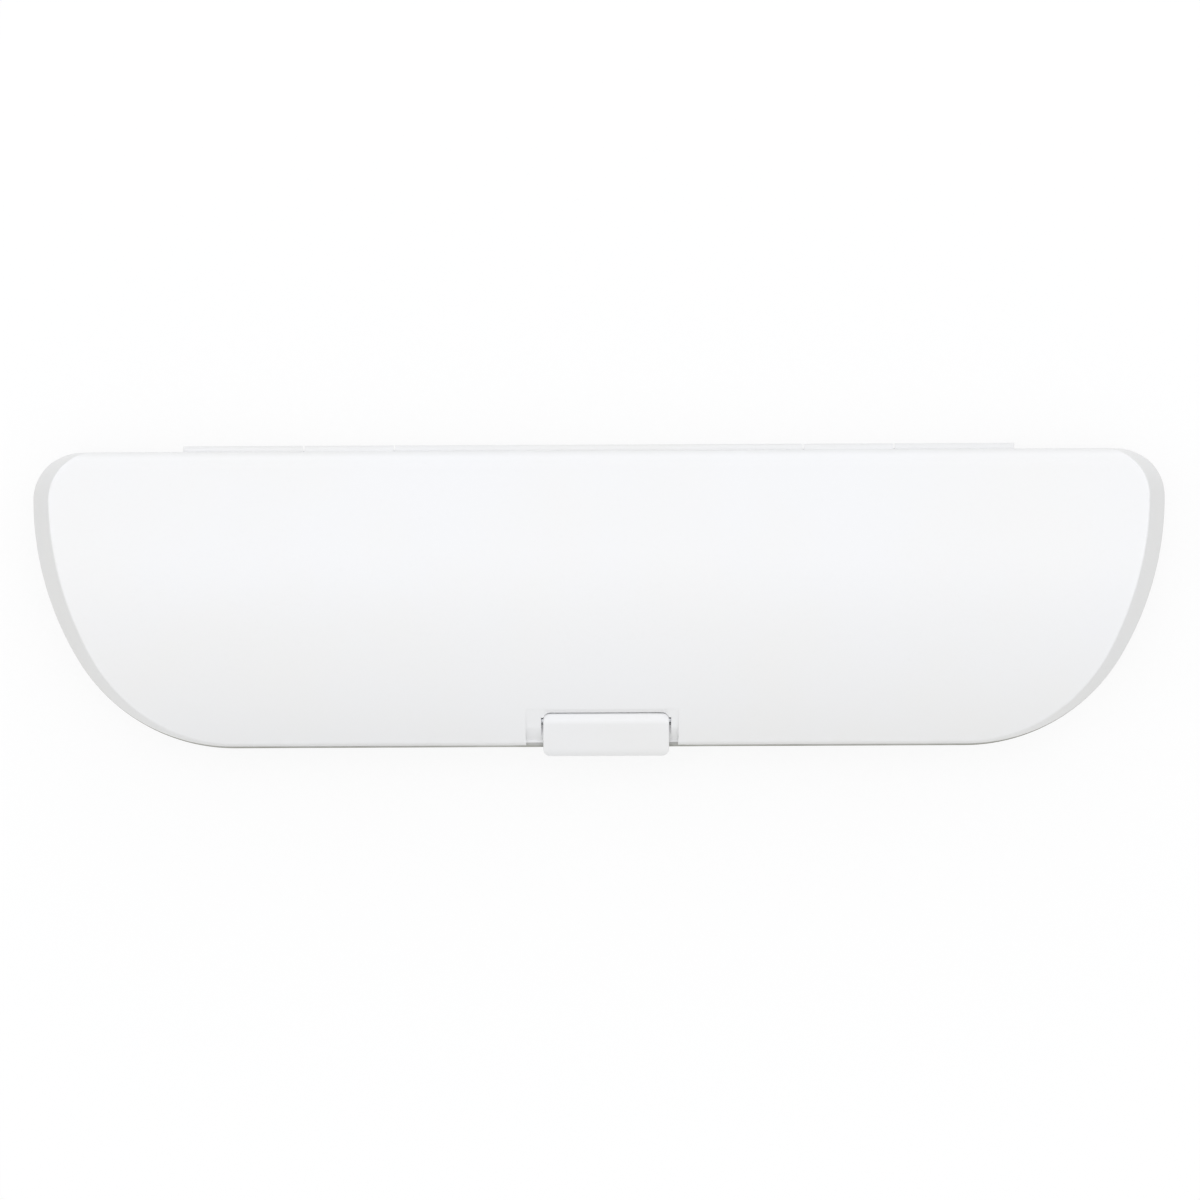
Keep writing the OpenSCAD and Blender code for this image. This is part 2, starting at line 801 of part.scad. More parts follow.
place() base_shell();
place() base_tray();
place() handle_pad_left();
place() handle_pad_right();
place() head_rest_left();
place() head_rest_right();
place() hinge_pin_left();
place() hinge_pin_right();
place() lid_shell();
place() lid_liner();
place() lid_pad_left();
place() lid_pad_right();
place() latch_pin();
place() latch();
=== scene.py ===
"""Travel case for an electric toothbrush, dressed for rendering.

Shapes are worked out in millimetres in the case's own frame: the back wall of
the case lies at y = 0, the latch side at negative y, and z is up from the
table. put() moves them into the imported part's frame, in metres.
"""
import math
import bmesh
import bpy
import numpy as np
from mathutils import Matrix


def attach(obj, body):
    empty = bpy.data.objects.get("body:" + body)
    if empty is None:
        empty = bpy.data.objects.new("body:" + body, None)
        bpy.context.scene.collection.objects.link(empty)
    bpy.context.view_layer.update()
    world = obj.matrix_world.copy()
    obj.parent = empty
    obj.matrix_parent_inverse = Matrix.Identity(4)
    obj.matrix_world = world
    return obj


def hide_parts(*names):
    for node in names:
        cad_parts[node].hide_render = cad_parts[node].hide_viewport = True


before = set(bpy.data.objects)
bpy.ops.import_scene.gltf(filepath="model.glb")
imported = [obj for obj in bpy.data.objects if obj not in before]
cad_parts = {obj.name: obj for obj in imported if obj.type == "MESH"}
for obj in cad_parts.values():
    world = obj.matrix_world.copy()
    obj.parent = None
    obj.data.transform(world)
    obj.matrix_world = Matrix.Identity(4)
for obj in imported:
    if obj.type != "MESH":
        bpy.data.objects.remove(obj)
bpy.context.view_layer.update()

MM = 0.001
SHIFT_Y = 29.35

# Sizes of the case, as in the part's source
CASE_L, CASE_D, BASE_H, LID_H, WALL, RIM_STEP = 222.0, 57.8, 20.0, 20.0, 1.8, 0.3
CORNER_R, SIDE_R, SIDE_TURN = 9.3, 61.0, 31.0
CROWN_FLAT, RIM_H, LID_BACK_R, LID_DRAFT = 20.0, 2.5, 3.0, 3.2
BASE_FRONT_R, BASE_BACK_R, BASE_DRAFT, FOOT_R = 14.0, 4.0, 2.5, 1.6
TONGUE_H, TONGUE_T, TONGUE_GAP = 1.4, 0.85, 0.2
KNUCKLE_R, HINGE_OUT, HINGE_HALF, KNUCKLE_END, KNUCKLE_MID = 1.8, 1.2, 81.5, 57.9, 40.1
KNUCKLE_GAP, RELIEF_GAP, GROOVE_R, HINGE_PIN_R, HINGE_PIN_L = 0.3, 0.25, 1.25, 0.8, 52.0
RAIL_T, RAIL_H = 3.6, 2.8
LATCH_W, LATCH_X, RECESS_X, RECESS_W, RECESS_D = 24.7, 1.2, 0.4, 29.8, 7.05
RECESS_FLOOR, RECESS_STEP, RECESS_DROP, LATCH_OUT = 0.6, 0.1, 3.4, 2.1
BARREL_R, PIVOT_DEEP, PIVOT_IN = 1.3, 1.25, 4.2
BARREL_GAP, LATCH_PIN_R, LATCH_PIN_L, LATCH_SLOPE, LATCH_BEND_R = 0.2, 0.5, 28.4, 45.0, 5.0
LATCH_T, LATCH_LOW, LATCH_CORNER_R, LIP_H, PLATE_GAP = 1.25, 13.2, 1.4, 1.1, 0.3
LATCH_HEAD_R, LATCH_BACK_GAP = 0.45, 0.08
RIDGE_Z, RIDGE_R, RIDGE_OUT, RIDGE_L, RIDGE_GAP = 16.6, 0.9, 0.45, 18.0, 0.12
INSERT_T, INSERT_GAP, HANDLE_R, HANDLE_HALF, HANDLE_IN, INSERT_STEP = 1.2, 0.35, 14.6, 99.0, 20.4, 1.0
HEAD_L, HEAD_W, HEAD_DEEP, HEAD_LAND, HEAD_ROOM_R, SCOOP_R, INSERT_EDGE = 76.0, 15.0, 10.0, 7.5, 7.8, 11.0, 3.0
PAD_T, PAD_L, PAD_ANGLE, PAD_X = 1.2, 24.0, 110.0, 62.0
REST_H, REST_L, REST_NOTCH_R, REST_X = 8.0, 7.0, 3.4, 30.0
RIB_T, RIB_X, RIB_GAP, RIB_LOW = 1.6, 74.0, 0.15, 11.0

# Sizes of what is drawn finer than the part's source has it
SAME_POINT, RIM_ROUND, RECESS_RIM_IN, LIP_R, HINGE_TUBE, FRONT_FOOT_R = 5e-7, 0.15, 0.6, 0.4, 1.2, 2.6
PAD_EASE, GROOVE_DEEP, GROOVE_STEP, LATCH_EASE = 0.7, 0.36, 2.4, 0.3
FLOOR_SIDE, SEEN_WIDTH = 12.0, 0.2351
# Distance over which the wear beside an edge fades
WEAR_FADE = 0.5

# Values that follow from them
TOP_Z = BASE_H + LID_H
HALF_L = CASE_L / 2
BASE_D = CASE_D + RIM_STEP
CROWN_RUN, CROWN_FALL = CASE_D - CROWN_FLAT, LID_H - RIM_H
CROWN_R = (CROWN_RUN ** 2 + CROWN_FALL ** 2) / (2 * CROWN_FALL)
CROWN_C = np.array([-CROWN_FLAT, TOP_Z - CROWN_R])
HINGE_C = np.array([HINGE_OUT - KNUCKLE_R, BASE_H])
CORNER_C = np.array([HALF_L - CORNER_R, -CORNER_R])
PIVOT_Y = PIVOT_IN - CASE_D
PIVOT_N = np.array([PIVOT_Y - CROWN_C[0], math.sqrt(CROWN_R ** 2 - (PIVOT_Y - CROWN_C[0]) ** 2)]) / CROWN_R
PIVOT_C = CROWN_C + (CROWN_R - PIVOT_DEEP) * PIVOT_N
TROUGH_R = (BARREL_R - LATCH_HEAD_R) * math.sqrt(2) + LATCH_HEAD_R + BARREL_GAP
PLATE_N = np.array([-math.sin(math.radians(LATCH_SLOPE)), math.cos(math.radians(LATCH_SLOPE))])
PLATE_DOWN = np.array([-PLATE_N[1], PLATE_N[0]])
RECESS_RIM, LEDGE_Y, LEDGE_Z = RECESS_RIM_IN - CASE_D, 1.1 - CASE_D, BASE_H + 1.0
RIDGE_C = np.array([RIDGE_R - CASE_D - RIDGE_OUT, RIDGE_Z])
LIP_TOP = LATCH_LOW + LIP_H
LIP_SWING = math.dist(RIDGE_C, HINGE_C) + RIDGE_R + RIDGE_GAP
LIP_Y = HINGE_C[0] - math.sqrt(LIP_SWING ** 2 - (BASE_H - LIP_TOP) ** 2)
HANDLE_Y = -HANDLE_IN
HEAD_Y = 13.0 - BASE_D
HEAD_ROOM_Y = 14.4 - CASE_D
TRAY_Z, LINER_Z = BASE_H - INSERT_STEP, BASE_H + INSERT_STEP
RECESS = (RECESS_X - RECESS_W / 2, RECESS_X + RECESS_W / 2)
TROUGH = (LATCH_X - LATCH_W / 2 - 0.4, LATCH_X + LATCH_W / 2 + 0.4)
BOSS = (RECESS[0] - 1.4, RECESS[1] + 1.4)
BOSS_R = TROUGH_R + 1.1
RIM_BREAK = (RECESS[0] - 1.6, RECESS[1] + 1.6)
SPINE_Y, SPINE_END = -25.0, 70.0
# Distance of the shoulder line from a shell's edge, which is the recess's back at the front
SHOULDER = -CASE_D + RECESS_D
MIRROR = np.array([-1.0, 1.0])


# ---------------------------------------------------------------- meshes

def join(*parts):
    """Points or numbers one after another."""
    return np.concatenate(parts)


def half_chord(radius, off):
    """Half the chord of a circle at a distance off from its centre: the root of radius squared less off
    squared, and 0 outside the circle."""
    return np.sqrt(np.maximum(radius ** 2 - off ** 2, 0))


def drawn_in(radius, near):
    """How far a rounded corner is drawn in at a distance from its end."""
    return radius - half_chord(radius, radius - np.minimum(near, radius))


def quarter(n, first=0):
    """Angles up to a quarter turn, in radians."""
    return np.radians(np.linspace(first, 90, n))


def heading(v):
    """Direction of a vector, in degrees."""
    return math.degrees(math.atan2(v[1], v[0]))


def at_x(x, line):
    """A section's (y, z) points at a place along x."""
    return np.column_stack([np.full(len(line), x), line])


def grid_faces(rows, cols, wrap=False):
    """Quads of a grid of rows x cols points numbered row by row; wrap joins the last column to the first."""
    r, c = np.meshgrid(np.arange(rows - 1), np.arange(cols if wrap else cols - 1), indexing="ij")
    d = (c + 1) % cols
    return np.stack([r * cols + c, r * cols + d, (r + 1) * cols + d, (r + 1) * cols + c], -1).reshape(-1, 4)


def placed(name, data, place=(0, 0, 0), turn=(0, 0, 0)):
    """A new object in the scene, turned by angles in degrees."""
    made = bpy.data.objects.new(name, data)
    made.location, made.rotation_euler = place, [math.radians(angle) for angle in turn]
    bpy.context.scene.collection.objects.link(made)
    return made


def put(name, parts, body, material, stands_for=(), sharp=38.0):
    """Joins grids into one mesh. Each part is (points, faces, wear_and_shade): points in millimetres in the
    case's frame, quads as rows of four numbers, and how worn each point is, or below zero how much painted
    shade it gets. Doubles are merged, normals turned outwards, and edges sharper than the given angle stay sharp."""
    start, points, faces, wear_and_shade = 0, [], [], []
    for p, f, w in parts:
        p = np.asarray(p, float).reshape(-1, 3)
        points.append(p)
        faces.append(np.asarray(f) + start)
        wear_and_shade.append(np.broadcast_to(np.asarray(w, float).reshape(-1), (len(p),)))
        start += len(p)
    mesh = bpy.data.meshes.new(name)
    quads = join(*faces).tolist()
    mesh.from_pydata((join(*points) + (0, SHIFT_Y, 0)) * MM, [], [f if f[2] != f[3] else f[:3] for f in quads])
    layer = mesh.attributes.new("wear_and_shade", "FLOAT", "POINT")
    layer.data.foreach_set("value", join(*wear_and_shade).astype(np.float32))
    shape = bmesh.new()
    shape.from_mesh(mesh)
    bmesh.ops.remove_doubles(shape, verts=shape.verts, dist=SAME_POINT)
    bmesh.ops.dissolve_degenerate(shape, edges=shape.edges, dist=SAME_POINT / 5)
    bmesh.ops.recalc_face_normals(shape, faces=shape.faces)
    shape.to_mesh(mesh)
    shape.free()
    mesh.shade_smooth()
    mesh.set_sharp_from_angle(angle=math.radians(sharp))
    mesh.materials.append(material)
    piece = placed(name, mesh)
    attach(piece, body)
    if stands_for:
        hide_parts(*stands_for)
    return piece


def arc(centre, radius, start, end, n):
    """Points of an arc from one angle to another, in degrees."""
    t = np.radians(np.linspace(start, end, n))
    return np.asarray(centre) + radius * np.stack([np.cos(t), np.sin(t)], 1)


def spread(line, n):
    """n points evenly along a polyline, by its length."""
    line = np.asarray(line, float)
    run = join([0], np.cumsum(np.linalg.norm(np.diff(line, axis=0), axis=1)))
    at = np.linspace(0, run[-1], n)
    return np.stack([np.interp(at, run, line[:, k]) for k in range(line.shape[1])], 1)


# ---------------------------------------------------------------- the shells' outline

def split_line(values, cuts):
    """Places along x in order, each cut twice: once for the section before it and once for the one after.
    Gives the places, and probes that lie just on the right side of each cut."""
    cuts = np.asarray(cuts, float)
    place = join(values, cuts, cuts)
    probe = join(values, cuts - 1e-3, cuts + 1e-3)
    order = np.argsort(probe, kind="stable")
    return place[order], probe[order]


def end_arcs(depth):
    """The two arcs that round an end of the plan and share a tangent: the front one's centre and radius, and
    the side one's centre."""
    turn = math.radians(SIDE_TURN)
    front_r = (depth - CORNER_R - SIDE_R * math.sin(turn)) / (1 - math.sin(turn))
    side_c = np.array([HALF_L - SIDE_R, -CORNER_R])
    front_c = side_c + (SIDE_R - front_r) * np.array([math.cos(turn), -math.sin(turn)])
    return front_c, front_r, side_c


class Outline:
    """Stations round a shell's plan outline, as arrays over the stations.

    The front and back are straight. Each end is two arcs that share a tangent, then a corner arc. p is the
    plan point at the parting line, way the direction of an inset, and lean the direction in which the draft
    moves it, so a wall point is p + inset * way + draft * lean. q is the point of the spine, a line along
    the middle of the shell, to which the station's crown runs. kind is 0 on the front, 1 on the end arcs,
    2 on the corner and 3 on the back."""

    def __init__(self, depth, cuts, end_cuts):
        fine = join(np.linspace(-SPINE_END, SPINE_END, 41),
                    *[[RECESS[0] - d, RECESS[1] + d] for d in (0.04, 0.1, 0.2, 0.3, 0.4, 0.7)])
        x, probe = split_line(fine, cuts)
        front_c, front_r, side_c = end_arcs(depth)

        def bow(centre, radius, start, end, n, kind):
            way = arc((0, 0), 1, start, end, n)
            lean = -way if kind == 1 else np.tile([-1.0, 0.0], (n, 1))
            return centre + radius * way, -way, lean, np.full(n, kind), centre[0] + radius * way[:, 0]

        def line(xs, probes, y, kind):
            way = np.tile([0.0, -np.sign(y + 1)], (len(xs), 1))
            slide = np.clip((np.abs(xs) - 85) / (HALF_L - CORNER_R - 85), 0, 1) * np.sign(xs)
            lean = way.copy() if kind == 0 else np.stack([-slide, 0 * xs], 1)
            return np.stack([xs, 0 * xs + y], 1), way, lean, np.full(len(xs), kind), probes

        ends = split_line([72, 74, 76, 78, 83.5, 86, 90, 94, 98], end_cuts)
        fan = [bow(front_c, front_r, -90, -SIDE_TURN, 28, 1), bow(side_c, SIDE_R, -SIDE_TURN, 0, 22, 1),
               bow(CORNER_C, CORNER_R, 0, 90, 20, 2), line(ends[0][::-1], ends[1][::-1], 0.0, 3)]
        right = [join(*part) for part in zip(*fan)]
        left = [*(part * MIRROR for part in right[:3]), right[3], -right[4]]
        front = line(x, probe, -depth, 0)
        back = line(x[::-1], probe[::-1], 0.0, 3)
        whole = zip(front, right, back, [part[::-1] for part in left])
        self.p, self.way, self.lean, self.kind, self.probe = [join(*part) for part in whole]
        self.q = np.stack([np.clip(self.p[:, 0], -SPINE_END, SPINE_END), 0 * self.probe + SPINE_Y], 1)
        self.n = len(self.probe)
        # Share of an inset that moves a point along y, on the corner and the back
        self.rise = np.where(self.kind >= 2, np.maximum(-self.way[:, 1], 1e-3), 1.0)
        # Where the shells' rims overlap by tongue and groove
        self.sealed = (self.kind <= 1) & ~self.between(RIM_BREAK)

    def wall(self, inset, draft):
        """Plan points of the wall; inset and draft are numbers or arrays over rows and stations."""
        inset, draft = np.asarray(inset)[..., None], np.asarray(draft)[..., None]
        return self.p + inset * self.way + draft * self.lean

    def between(self, span):
        return (self.probe > span[0]) & (self.probe < span[1])


def lid_lean(z):
    return LID_DRAFT * (z - BASE_H) / LID_H


def base_lean(z):
    return BASE_DRAFT * (BASE_H - z) / BASE_H


def crown(y, gap=0.0):
    """Height of the lid's top at a depth y: flat, one arc down to the front rim, and a rounded back edge.
    A gap gives the same surface that far inside."""
    front = CROWN_C[1] + half_chord(CROWN_R - gap, y - CROWN_C[0])
    back = TOP_Z - LID_BACK_R + half_chord(LID_BACK_R - gap, np.maximum(y + LID_BACK_R, 0))
    return np.where(y < -CROWN_FLAT, front, np.where(y > -LID_BACK_R, back, TOP_Z - gap))


def belly(y, gap=0.0):
    """Height of the base's underside at a depth y: flat, rounded up to the front and to the back."""
    front = BASE_FRONT_R - half_chord(BASE_FRONT_R - gap, np.minimum(y + BASE_D - BASE_FRONT_R, 0))
    back = BASE_BACK_R - half_chord(BASE_BACK_R - gap, np.maximum(y + BASE_BACK_R, 0))
    return np.where(y > -BASE_BACK_R, back, front)


# ---------------------------------------------------------------- the two shells

ROWS_CROWN, ROWS_EDGE, ROWS_HINGE = 28, 31, 24
NEAR_SHOULDER = np.array([0.7, 0.4, 0.3, 0.2, 0.1, 0.04, 0.0])
TO_EDGE = np.array([0.94, 0.78, 0.63, 0.5, 0.39, 0.3, 0.22, 0.15, 0.09, 0.04, 0.0])
DOWN_WALL = np.array([0.02, 0.05, 0.1, 0.18, 0.28, 0.38, 0.5, 0.6, 0.7, 0.8, 0.88, 0.94, 0.98, 1.0])


def curve3(a, b, c, steps):
    """Rows of a quadratic curve from a to c that is pulled towards b."""
    return [(1 - t) ** 2 * a + 2 * t * (1 - t) * b + t ** 2 * c for t in steps]


def recess_depth(y):
    """Depth of the recess's floor under the crown: shallow at its back and growing evenly to the drop."""
    share = np.clip((SHOULDER - y) / (CASE_D - RECESS_DROP + SHOULDER), 0, 1)
    return RECESS_STEP + (RECESS_FLOOR - RECESS_STEP) * share


def lip_drop(x, y):
    """How far the crown is rounded down towards the opening of the latch recess, by the distance to it."""
    aside = np.maximum(np.maximum(RECESS[0] - x, x - RECESS[1]), 0)
    off = np.minimum(np.hypot(aside, np.maximum(y - SHOULDER, 0)), LIP_R)
    return (1 - half_chord(1, 1 - off / LIP_R)) * np.minimum(recess_depth(y) * 0.85, LIP_R)


def hinge_round(knuckle, grooved):
    """Radius of a shell's back along the hinge: knuckles, a groove outside them, and room for the other
    shell's knuckles between."""
    return np.where(knuckle, KNUCKLE_R, np.where(grooved, GROOVE_R, KNUCKLE_R + RELIEF_GAP))


def shell(line, up, draft, cover, edge_r, knuckle, grooved, seal, recess=0.0):
    """A shell as a grid, rows by stations. Along a row the stations go round the outline. Down the rows the
    section runs from the spine over the outer skin to the edge, round it, along the wall, round the rim or
    the hinge, back along the inner wall and over the inner skin to the spine again.

    up is 1 in the lid and -1 in the base, and v counts heights from the parting line into the shell. Along the
    parting line the rim gets painted shade, darker on the base's rim, which is wear below zero. seal is the
    rim's section where tongue and groove overlap, recess is 1 at the stations of the latch recess, and
    draft(z) and cover(y, gap) give the wall's lean and the skin's height."""
    plan, height, wear_and_shade, rim_shade = [], [], [], -0.3 if up > 0 else -1.0
    level = np.zeros(line.n)

    def row(p, z, w=0.0):
        plan.append(p)
        height.append(np.broadcast_to(z, (line.n,)))
        wear_and_shade.append(np.broadcast_to(w, (line.n,)))

    def on_wall(inset, v, w=0.0):
        z = BASE_H + up * v
        row(line.wall(inset, draft(z)), z, w)

    def edge(inset, gap):
        """Where wall and skin would meet in a sharp edge, by repeated trial, and the way from there to the
        spine: height, point, direction, length and the distance of the shoulder line."""
        z = level + BASE_H + up * 15.0
        for _ in range(40):
            z = cover(line.wall(inset, draft(z))[:, 1], gap)
        e = line.wall(inset, draft(z))
        run = line.q - e
        length = np.linalg.norm(run, axis=1)
        shoulder, front = SHOULDER + gap * 0.8 - e[:, 1], line.kind == 0
        return z, e, run / length[:, None], length, np.where(front, shoulder, shoulder[front][0])

    def round_over(z, e, inner, steps, w=0.0):
        """Rows from the last one round the edge to the inner points."""
        for p in curve3(np.column_stack([plan[-1], height[-1]]), np.column_stack([e, z]), inner, steps):
            row(p[:, :2], p[:, 2], w)

    z_edge, e, unit, length, shoulder = edge(level, 0.0)
    steps = [shoulder + 0.7 + (length - shoulder - 0.7) * f for f in np.linspace(1, 0, 22)[:-1]]
    steps += [shoulder + f for f in NEAR_SHOULDER]
    steps += [edge_r + (shoulder - edge_r) * f for f in TO_EDGE]
    for d in steps:
        p = e + unit * d[:, None]
        z = cover(p[:, 1], 0.0)
        if up > 0:
            z = z - lip_drop(p[:, 0], p[:, 1]) * np.clip(d, 0, 1)
        row(p, z, np.exp(-(d - edge_r) / WEAR_FADE))
    v_low = up * (z_edge - BASE_H) - edge_r
    z_low = BASE_H + up * v_low
    round_over(z_edge, e, np.column_stack([line.wall(level, draft(z_low)), z_low]), np.arange(1, 7) / 6, 1.0)

    # Where the wall meets the hinge's round, or the small rounding of the rim. Round a knuckle the section
    # turns outside the hinge line, and elsewhere it leaves a hollow
    wall_y, hinge_r = line.p[:, 1], hinge_round(knuckle, grooved)
    hinged = (line.kind >= 2) & (wall_y > HINGE_C[0] - hinge_r)
    first = np.arccos(np.clip((wall_y - HINGE_C[0]) / hinge_r, -1, 1))
    v_rim = np.where(hinged, hinge_r * np.sin(first), RIM_ROUND)
    # Values below zero paint shade along the parting line: on the wall's lowest rows here and on the rim's rounding
    # below, but not round the hinge
    for f in DOWN_WALL:
        v = v_low + (v_rim - v_low) * f
        on_wall(level, v, np.exp(-(v_low - v) / WEAR_FADE) + rim_shade * np.exp(-(v - v_rim) / 0.25) * ~hinged)
    for t in np.linspace(0, 1, ROWS_HINGE):
        angle = np.where(knuckle, first - t * (math.pi + first), first + t * (math.pi - first))
        inset = (wall_y - HINGE_C[0] - hinge_r * np.cos(angle)) / line.rise
        on_wall(np.where(hinged, inset, RIM_ROUND * t * t + RECESS_RIM_IN * recess),
                np.where(hinged, hinge_r * np.sin(angle), RIM_ROUND * (1 - t) ** 2),
                np.where(hinged, 0.35, rim_shade))

    z_in, e, unit, length, shoulder = edge(level + WALL, WALL)
    v_in = up * (z_in - BASE_H)
    rail = np.where(line.kind >= 2, np.maximum(CORNER_R - (CORNER_R - RAIL_T) / line.rise, WALL), WALL)
    top = np.minimum(2.2, v_in - 0.03)
    plain = [(WALL - 0.2, 0), *((WALL, v) for v in (0.15, 0.4, 0.8, 1.2, np.minimum(1.6, top - 0.03), top))]
    slope = RAIL_H + rail - WALL
    railed = [(rail - 0.15, 0), (rail, 0.15), (rail, 1), (rail, 2), (rail, RAIL_H), (WALL, slope),
              (WALL, slope + 0.4)]
    for rim in zip(seal, railed, plain):
        inset, last = [np.where(line.sealed, np.minimum(s, limit), np.where(rail > WALL + 0.01, r, p))
                       for s, r, p, limit in zip(*rim, (np.inf, top))]
        on_wall(inset, last, 0.3)
    inner_r = np.where(v_in < 3, 0.01, 0.4)
    for f in (0.1, 0.3, 0.55, 0.8, 1.0):
        on_wall(level + WALL, last + (v_in - inner_r - last) * f)
    p = e + unit * inner_r[:, None]
    round_over(z_in, e, np.column_stack([p, cover(p[:, 1], WALL)]), (0.25, 0.5, 0.75, 1.0))
    steps = [inner_r + (shoulder - inner_r) * f for f in (0.08, 0.25, 0.45, 0.65, 0.85, 1.0)]
    steps += [shoulder + (length - shoulder) * f for f in np.linspace(0, 1, 9)[1:]]
    for d in steps:
        p = e + unit * d[:, None]
        row(p, cover(p[:, 1], WALL))
    return np.dstack([np.array(plan), np.array(height)[..., None]]), np.array(wear_and_shade)


def section(points, rows, stations, line):
    """Gives some stations another section over some rows, as (y, z) points; x stays."""
    block = points[rows[0]:rows[1]]
    block[:, stations, 1:] = line[:, None, :]
    block[:, stations, 0] = points[0, stations, 0]


def recess_line(x=None):
    """Section of the latch recess: its back edge, the floor under the crown or, at an x in the trough, the
    trough under the latch, the steep front and the low ledge behind the rim."""
    back, drop = SHOULDER, RECESS_DROP - CASE_D

    def floor(*y):
        y = np.array(y, float)
        return np.column_stack([y, crown(y) - recess_depth(y)])

    z_back, z_wall, z_drop = floor(back, back - 0.05, drop)[:, 1]
    top, foot = np.array([drop, z_drop]), np.array([LEDGE_Y, LEDGE_Z])
    steep = (foot - top) / np.linalg.norm(foot - top)
    low = foot - 0.25 * steep
    if x is None:
        start = [(back, z_back + 0.015), (back - 0.05, z_back - 0.04), *floor(back - 0.2)]
        middle = [floor(*np.linspace(back - 0.5, drop + 0.5, 9)),
                  [*floor(drop + 0.2), (drop - 0.01, z_drop - 0.05), top + 0.25 * steep],
                  spread([top + 0.25 * steep, low], 9)[1:]]
    else:
        near = max(min(x - LATCH_X, LATCH_X - x) + LATCH_W / 2, 0.0)
        aside = BARREL_R + LATCH_BACK_GAP - drawn_in(LATCH_CORNER_R, near)
        first = math.degrees(math.acos(aside / TROUGH_R))
        under = BARREL_R - LATCH_T - PLATE_GAP
        leave = PIVOT_C + under * PLATE_N + half_chord(TROUGH_R, under) * PLATE_DOWN
        run = np.linalg.solve(np.column_stack([PLATE_DOWN, -steep]), top - leave)[0]
        meet = leave + run * PLATE_DOWN
        a, c = meet - 0.25 * PLATE_DOWN, meet + 0.25 * steep
        hollow = arc(PIVOT_C, TROUGH_R, min(first, 78.0), heading(leave - PIVOT_C), 10)
        wall = spread([(back - 0.05, z_wall), hollow[0]], 9)
        start = [(back, z_back + 0.015), (back - 0.04, z_back - 0.05), wall[1]]
        middle = [wall[[2, 4, 6, 7]], hollow, spread([leave, a], 4)[1:], [(a + 2 * meet + c) / 4, c, low]]
    end = [(LEDGE_Y + 0.01, LEDGE_Z + 0.06), (LEDGE_Y - 0.1, LEDGE_Z), (RECESS_RIM + 0.25, LEDGE_Z),
           (RECESS_RIM + 0.08, LEDGE_Z), *((RECESS_RIM, z) for z in (LEDGE_Z - 0.08, LEDGE_Z - 0.3, BASE_H + 0.4)),
           (RECESS_RIM, BASE_H + 0.15)]
    return join(start, *middle, end)


def boss_line():
    """Section of the solid behind the recess: up the inner wall, round the boss's foot and its head, back to
    the inner skin."""
    y, foot_r = WALL - CASE_D, BOSS_R - TROUGH_R
    foot = np.array([LEDGE_Y + 0.6, LEDGE_Z + foot_r])
    away = foot - PIVOT_C
    turn = heading(away) + math.degrees(math.acos((BOSS_R - foot_r) / math.hypot(*away)))
    first = math.degrees(math.acos((y - foot[0]) / foot_r))
    reach, deep = CROWN_R - WALL, CROWN_R - PIVOT_DEEP
    swing = math.degrees(math.acos((reach ** 2 - deep ** 2 - BOSS_R ** 2) / (2 * deep * BOSS_R)))
    head = arc(PIVOT_C, BOSS_R, turn, heading(PIVOT_N) - swing, 13)
    behind = np.linspace(head[-1, 0] + 0.5, SHOULDER + WALL * 0.8, 2)
    return join([(y, BASE_H + 0.4), (y, BASE_H + 0.7)], arc(foot, foot_r, -first, turn, 3), head,
                np.column_stack([behind, crown(behind, WALL)]))


def ridge_line(low):
    """Section of the base's front wall above a height, with the round catch ridge standing out of it."""
    def wall(*z):
        z = np.array(z, float)
        return np.column_stack([-BASE_D + base_lean(z), z])
    half = math.degrees(math.acos((RIDGE_C[0] + BASE_D - base_lean(RIDGE_Z)) / RIDGE_R))
    bead = arc(RIDGE_C, RIDGE_R, 180 + half, 180 - half, 8)
    foot = bead[0, 1]
    return join(wall(low - 0.2, low + (foot - low) * 0.5, foot - 0.1), bead,
                wall(bead[-1, 1] + 0.1, 18.8, BASE_H - RIM_ROUND))


def ribs(up, cover):
    """The carrying ribs, plates between the insert's channel and the shell's skin. Each is a loop in y and z
    at both faces, drawn together to the middle line on their far sides."""
    y = np.linspace(HANDLE_Y - HANDLE_R * 0.75, HANDLE_Y + HANDLE_R * 0.75, 25)
    inner = BASE_H + up * np.maximum(half_chord(HANDLE_R + INSERT_T + RIB_GAP, y - HANDLE_Y), RIB_LOW)
    outer = cover(y, WALL * 0.5)
    half = (inner + outer) / 2
    loop, middle = [np.column_stack([join(y, y[::-1]), join(a, b[::-1])])
                    for a, b in ((inner, outer), (half, half))]
    parts = []
    for x in (-RIB_X, 0, RIB_X):
        left, right = x - RIB_T / 2, x + RIB_T / 2
        rings = [at_x(left, middle), at_x(left, loop), at_x(right, loop), at_x(right, middle)]
        parts.append((join(*rings), grid_faces(4, len(loop), wrap=True), 0.0))
    return parts


def turned(profile, centre, n=40, closed=False, wear_and_shade=0.0):
    """A round piece along x: a profile of (x, radius) turned about a centre in y and z."""
    profile = np.array([*profile, *profile[:closed]], float)
    t = np.linspace(0, 2 * math.pi, n, endpoint=False)
    x, r = profile[:, :1] + 0 * t, profile[:, 1:] + 0 * t
    points = np.stack([x, centre[0] + r * np.cos(t), centre[1] + r * np.sin(t)], -1)
    return points, grid_faces(len(profile), n, wrap=True), wear_and_shade


def bar_profile(x0, x1, r, ease=0.15):
    """A solid round bar with eased ends."""
    eased = [(x0, 0), (x0, r - ease), (x0 + ease * 0.3, r - ease * 0.3), (x0 + ease, r)]
    middle = [(x, r) for x in np.linspace(x0 + ease, x1 - ease, 9)[1:-1]]
    return eased + middle + [(x0 + x1 - x, radius) for x, radius in eased[::-1]]


